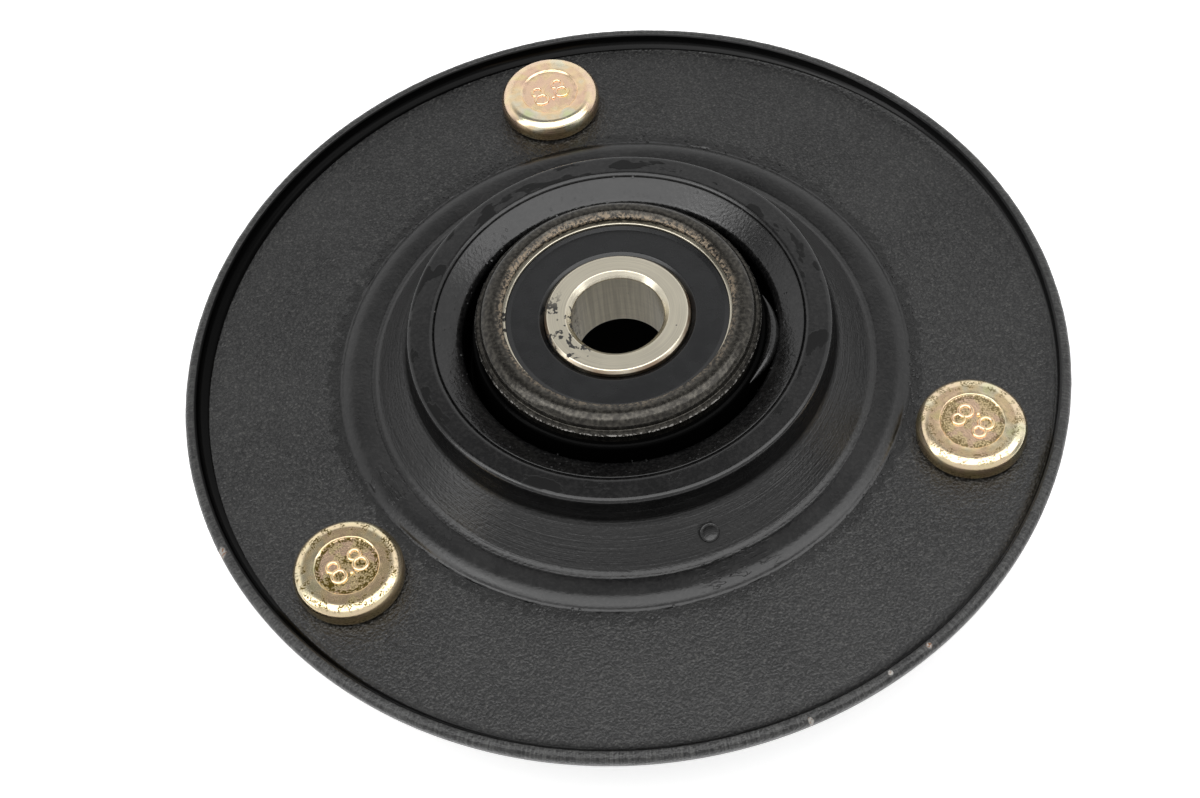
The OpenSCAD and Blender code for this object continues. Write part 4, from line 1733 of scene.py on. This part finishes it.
class FoldForm(FormTree):
    """Tree of a fold that swells and thins out again along an arc round the axis."""

    def __init__(self) -> None:
        """Build the tree with its named inputs."""
        super().__init__("rubber_fold")
        steps, sides = self.given("Steps", "Int"), self.given("Sides", "Int")
        start, sweep = self.given("Start Angle"), self.given("Sweep Angle")
        root, height = self.given("Root Radius"), self.given("Height")
        width, swell = self.given("Width"), self.given("Swell")
        rows = sides + 1.0
        index = self.add("GeometryNodeInputIndex")["Index"]
        share = (index / rows).floor() / steps
        turn = (index % rows) * (math.tau / sides)
        bulge = (share * math.pi).sin().most(0.0)
        angle = start + share * sweep
        r = root + bulge * (swell + width * turn.cos())
        z = height + bulge * width * turn.sin() * 1.3 + (share * 9.0).sin() * width * 0.15
        shape = self.placed(self.grid(steps + 1.0, rows), self.vector(r * angle.cos(), r * angle.sin(), z))
        self.end(shape)


@dataclass
class StudSet:
    """Three press-in studs with round heads. Lengths are in millimetres, turns in degrees."""

    shop: Workshop
    head_r: float = 8.8
    head_edge: float = 1.9
    head_foot: float = 0.9
    neck_r: float = 4.6
    seat_z: float = 2.0
    recess_r: float = 4.9
    recess_h: float = 0.25
    recess_flat: float = 0.6
    numeral_stroke: float = 0.31
    numeral_loop: float = 1.02
    numeral_gap: float = 1.95
    pitch: float = 1.25
    depth: float = 0.72
    tip: float = 1.0
    runout: float = 2.5
    turns: tuple[float, float, float] = (14.0, 22.0, 128.0)
    soil: tuple[float, float, float] = (0.10, 1.0, 0.8)
    shank_r: float = field(init=False)
    length: float = field(init=False)
    top: float = field(init=False)
    circle_r: float = field(init=False)

    def __post_init__(self) -> None:
        """Take the studs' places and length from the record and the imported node."""
        mounts = {mount["name"]: mount for mount in frame["record"]["mounts"]}
        low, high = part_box("mounting_studs")
        self.length, self.top = -low.z / MM, high.z / MM
        self.circle_r = mounts["tower_studs"]["dims"]["pcd_mm"] / 2
        self.shank_r = mounts["tower_studs"]["dims"]["stud_r_mm"]

    def head_outline(self) -> Outline:
        """Outline of the head and neck, from the shank's edge to the middle of the recess.

        Returns:
            The open outline.
        """
        floor = self.top - self.recess_h
        corners = [
            Corner(self.shank_r, 0.0),
            Corner(self.neck_r, 0.0, 0.1),
            Corner(self.neck_r, self.seat_z),
            Corner(self.head_r, self.seat_z, self.head_foot),
            Corner(self.head_r, self.top, self.head_edge),
            Corner(self.recess_r + self.recess_h + self.recess_flat, self.top),
            Corner(self.recess_r + self.recess_h, self.top, 0.15, 0.05),
            Corner(self.recess_r, floor, 0.15, 0.05),
            Corner(self.recess_r - self.recess_flat, floor),
            Corner(0.0, floor),
        ]
        return Outline(corners, closed=False, step=9.0)

    def build(self) -> None:
        """Make the studs and seat them."""
        zinc = YellowZinc("yellow_zinc", recess_r=self.recess_r, head_r=self.head_r, top=self.top).material()
        angles = [math.radians(90.0 + 120.0 * i) for i in range(3)]
        spots = bpy.data.meshes.new("stud_places")
        reach = self.circle_r * MM
        spots.from_pydata([(reach * math.cos(a), reach * math.sin(a), 0.0) for a in angles], [], [])
        turns = [math.radians(turn) for turn in self.turns]
        spots.attributes.new("turn", "FLOAT", "POINT").data.foreach_set("value", turns)
        spots.attributes.new("soil", "FLOAT", "POINT").data.foreach_set("value", self.soil)
        head = bpy.data.objects.new("stud_head_outline", self.head_outline().mesh("stud_head_outline"))
        bpy.context.scene.collection.objects.link(head)
        values = {
            "Segments": 96,
            "Head Outline": head,
            "Ragged Scale": 900.0,
            "Seed": 4.0,
            "Thread Radius": self.shank_r * MM,
            "Thread Depth": self.depth * MM,
            "Thread Pitch": self.pitch * MM,
            "Shank Length": self.length * MM,
            "Tip Chamfer": self.tip * MM,
            "Thread Run-out": self.runout * MM,
            "Floor Height": (self.top - self.recess_h) * MM,
            "Numeral Stroke": self.numeral_stroke * MM,
            "Numeral Loop": self.numeral_loop * MM,
            "Numeral Gap": self.numeral_gap * MM,
            "Material": zinc,
        }
        piece = StudForm().form("mounting_studs_plated", spots, values)
        bpy.data.objects.remove(head)
        self.shop.seat(piece, Body.MOUNT, Slot.ZINC, "mounting_studs")


@dataclass(frozen=True)
class Photographer:
    """Camera of the photograph, in millimetres and degrees, with places in the frame in pixels."""

    azimuth: float = -7.3
    elevation: float = 54.63
    roll: float = -6.79
    distance: float = 347.7
    focal_px: float = 2104.9
    aim_z: float = 4.24
    aim_px: tuple[float, float] = (621.82, 351.65)
    frame_px: tuple[float, float] = (1200.0, 798.0)
    film: float = 36.0

    def back(self) -> Vector:
        """Work out the camera's side.

        Returns:
            Direction from the object to the camera.
        """
        flat = Matrix.Rotation(math.radians(self.azimuth), 3, "Z") @ Vector((0.0, -1.0, 0.0))
        rise = math.radians(self.elevation)
        return flat * math.cos(rise) + Vector((0.0, 0.0, math.sin(rise)))

    def build(self) -> None:
        """Set up the camera, so that the aimed point falls on its pixel."""
        back = self.back()
        right = Vector((0.0, 0.0, 1.0)).cross(back).normalized()
        up = back.cross(right)
        roll = math.radians(self.roll)
        axes = Matrix((
            right * math.cos(roll) + up * math.sin(roll),
            up * math.cos(roll) - right * math.sin(roll),
            -back,
        ))
        aside = self.aim_px[0] - self.frame_px[0] / 2
        above = self.frame_px[1] / 2 - self.aim_px[1]
        swing = Vector((0.0, 0.0, 1.0)).rotation_difference(Vector((aside, above, self.focal_px)))
        right, up, ahead = (Vector(row) for row in swing.to_matrix() @ axes)
        data = bpy.data.cameras.new("camera")
        data.sensor_width = self.film
        data.lens = self.focal_px / self.frame_px[0] * self.film
        data.clip_start = 0.01
        camera = bpy.data.objects.new("camera", data)
        place = Matrix((right, up, -ahead)).transposed().to_4x4()
        place.translation = (Vector((0.0, 0.0, self.aim_z)) + back * self.distance) * MM
        camera.matrix_world = place
        bpy.context.scene.collection.objects.link(camera)
        bpy.context.scene.camera = camera


@dataclass(frozen=True)
class Softbox:
    """A flat lamp. Angles are in degrees from the camera's side, lengths in metres."""

    name: str
    azimuth: float
    elevation: float
    distance: float
    width: float
    height: float
    radiance: float

    def build(self, front: float) -> None:
        """Hang the lamp, aimed at the part.

        Args:
            front: Azimuth of the camera's side, in degrees.
        """
        turn, rise = math.radians(front + self.azimuth), math.radians(self.elevation)
        back = Vector((math.sin(turn) * math.cos(rise), -math.cos(turn) * math.cos(rise), math.sin(rise)))
        data = bpy.data.lights.new(self.name, "AREA")
        data.shape = "RECTANGLE"
        data.size, data.size_y = self.width, self.height
        data.energy = self.radiance * math.pi * self.width * self.height
        lamp = bpy.data.objects.new(self.name, data)
        lamp.location = back * self.distance
        lamp.rotation_euler = (-back).to_track_quat("-Z", "Y").to_euler()
        lamp.visible_camera = False
        bpy.context.scene.collection.objects.link(lamp)


@dataclass
class Studio:
    """White table with a painted shadow under the bore, soft lamps and pale surroundings, in metres."""

    camera: Photographer = field(default_factory=Photographer)
    floor_side: float = 6.0
    floor_colour: Colour = (0.90, 0.90, 0.90)
    painted_shadow_colour: Colour = (0.008, 0.008, 0.008)
    painted_shadow_at: tuple[float, float] = (0.003, 0.0245)
    painted_shadow_r: float = 0.014
    lift: float = 0.62
    under: float = 0.20
    shade_r: float = 0.040
    clear_r: float = 0.058
    wall_level: float = 1.0
    wall_tilt: float = 0.12
    front_level: float = 0.75
    side_level: float = 0.14
    fill_level: float = 0.12
    lamps: tuple[Softbox, ...] = (
        Softbox("softbox_over", 5.0, 78.0, 0.60, 0.92, 0.60, 2.45),
        Softbox("softbox_left", -76.0, 36.0, 0.55, 0.18, 0.52, 2.7),
        Softbox("softbox_right", 76.0, 38.0, 0.55, 0.24, 0.24, 2.4),
    )

    def _floor(self) -> None:
        """Lay the table under the lowest point of the part, with a painted shadow under the bore for the
        camera alone.
        """
        half = self.floor_side / 2
        mesh = bpy.data.meshes.new("table")
        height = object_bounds()[0].z
        corners = [(-half, -half, height), (half, -half, height), (half, half, height), (-half, half, height)]
        mesh.from_pydata(corners, [], [(0, 1, 2, 3)])
        material = bpy.data.materials.new("table")
        material.use_nodes = True
        tree = NodeTree(material.node_tree)
        tree.tree.nodes.clear()
        path = tree.add("ShaderNodeLightPath")
        seen = path["Is Camera Ray"].most(path["Is Glossy Ray"]).most(path["Is Transmission Ray"])
        x, y, _ = tree.parts(tree.add("ShaderNodeTexCoord")["Object"])
        away = (x * x + y * y) ** 0.5
        # Painted shadow: a soft black spot on the table under the bore, seen by the camera alone.
        aside, ahead = x - self.painted_shadow_at[0], y - self.painted_shadow_at[1]
        painted_shade = ((aside * aside + ahead * ahead) ** 0.5).rise(self.painted_shadow_r * 1.5, self.painted_shadow_r * 0.6)
        inputs = {"Factor_Float": path["Is Camera Ray"] * painted_shade}
        inputs |= {"A_Color": self.floor_colour, "B_Color": self.painted_shadow_colour}
        colour = tree.add("ShaderNodeMix", {"data_type": "RGBA"}, inputs)["Result_Color"]
        matt = tree.add("ShaderNodeBsdfDiffuse", inputs={"Color": colour})["BSDF"]
        clear = away.rise(self.shade_r, self.clear_r)
        strength = seen * clear * self.lift + path["Is Glossy Ray"] * (1.0 - clear) * self.under
        glow = tree.add("ShaderNodeEmission", inputs={"Color": (1.0, 1.0, 1.0), "Strength": strength})
        lit = tree.add("ShaderNodeAddShader", inputs={0: matt, 1: glow["Emission"]})["Shader"]
        tree.add("ShaderNodeOutputMaterial", inputs={"Surface": lit})
        mesh.materials.append(material)
        floor = bpy.data.objects.new("table", mesh)
        bpy.context.scene.collection.objects.link(floor)
        floor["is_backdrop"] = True

    def _surroundings(self) -> None:
        """Light the surroundings: a white wall behind the part, a pale front and a dimmer room."""
        world = bpy.data.worlds.new("surroundings")
        bpy.context.scene.world = world
        world.use_nodes = True
        tree = NodeTree(world.node_tree)
        tree.tree.nodes.clear()
        x, y, z = tree.parts(tree.add("ShaderNodeTexCoord")["Generated"])
        back = self.camera.back()
        toward = (x * back.x + y * back.y) / math.hypot(back.x, back.y)
        aside = (y * back.x - x * back.y) / math.hypot(back.x, back.y)
        wall = toward.rise(0.25, -0.25) * (z - aside * self.wall_tilt).rise(0.87, 0.74)
        front = toward.rise(0.1, 0.6)
        glossy = self.side_level + (self.wall_level - self.side_level) * wall
        glossy = glossy + (self.front_level - self.side_level) * front
        fill = self.fill_level * z.rise(0.02, 0.40)
        path = tree.add("ShaderNodeLightPath")
        shiny = path["Is Glossy Ray"].most(path["Is Transmission Ray"])
        level = fill + (glossy - fill) * shiny
        strength = level + path["Is Camera Ray"] * (1.0 - level)
        glow = tree.add("ShaderNodeBackground", inputs={"Color": (1.0, 1.0, 1.0), "Strength": strength})
        tree.add("ShaderNodeOutputWorld", inputs={"Surface": glow["Background"]})

    def build(self) -> None:
        """Set up the table, the lamps, the surroundings and the camera."""
        self._floor()
        self._surroundings()
        self.camera.build()
        for lamp in self.lamps:
            lamp.build(self.camera.azimuth)
        bpy.context.scene.view_settings.view_transform = "Standard"


def main() -> None:
    """Build every sub-assembly and the studio."""
    logging.basicConfig(level=logging.INFO, format="%(name)s %(message)s")
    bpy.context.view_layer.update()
    shop = Workshop()
    plate = FlangePlate(shop)
    plate.build()
    RubberBush(shop, plate).build()
    BearingCup(shop).build()
    BallBearing(shop).build()
    StudSet(shop).build()
    Studio().build()
    bpy.context.view_layer.update()


if __name__ == "__main__":
    main()
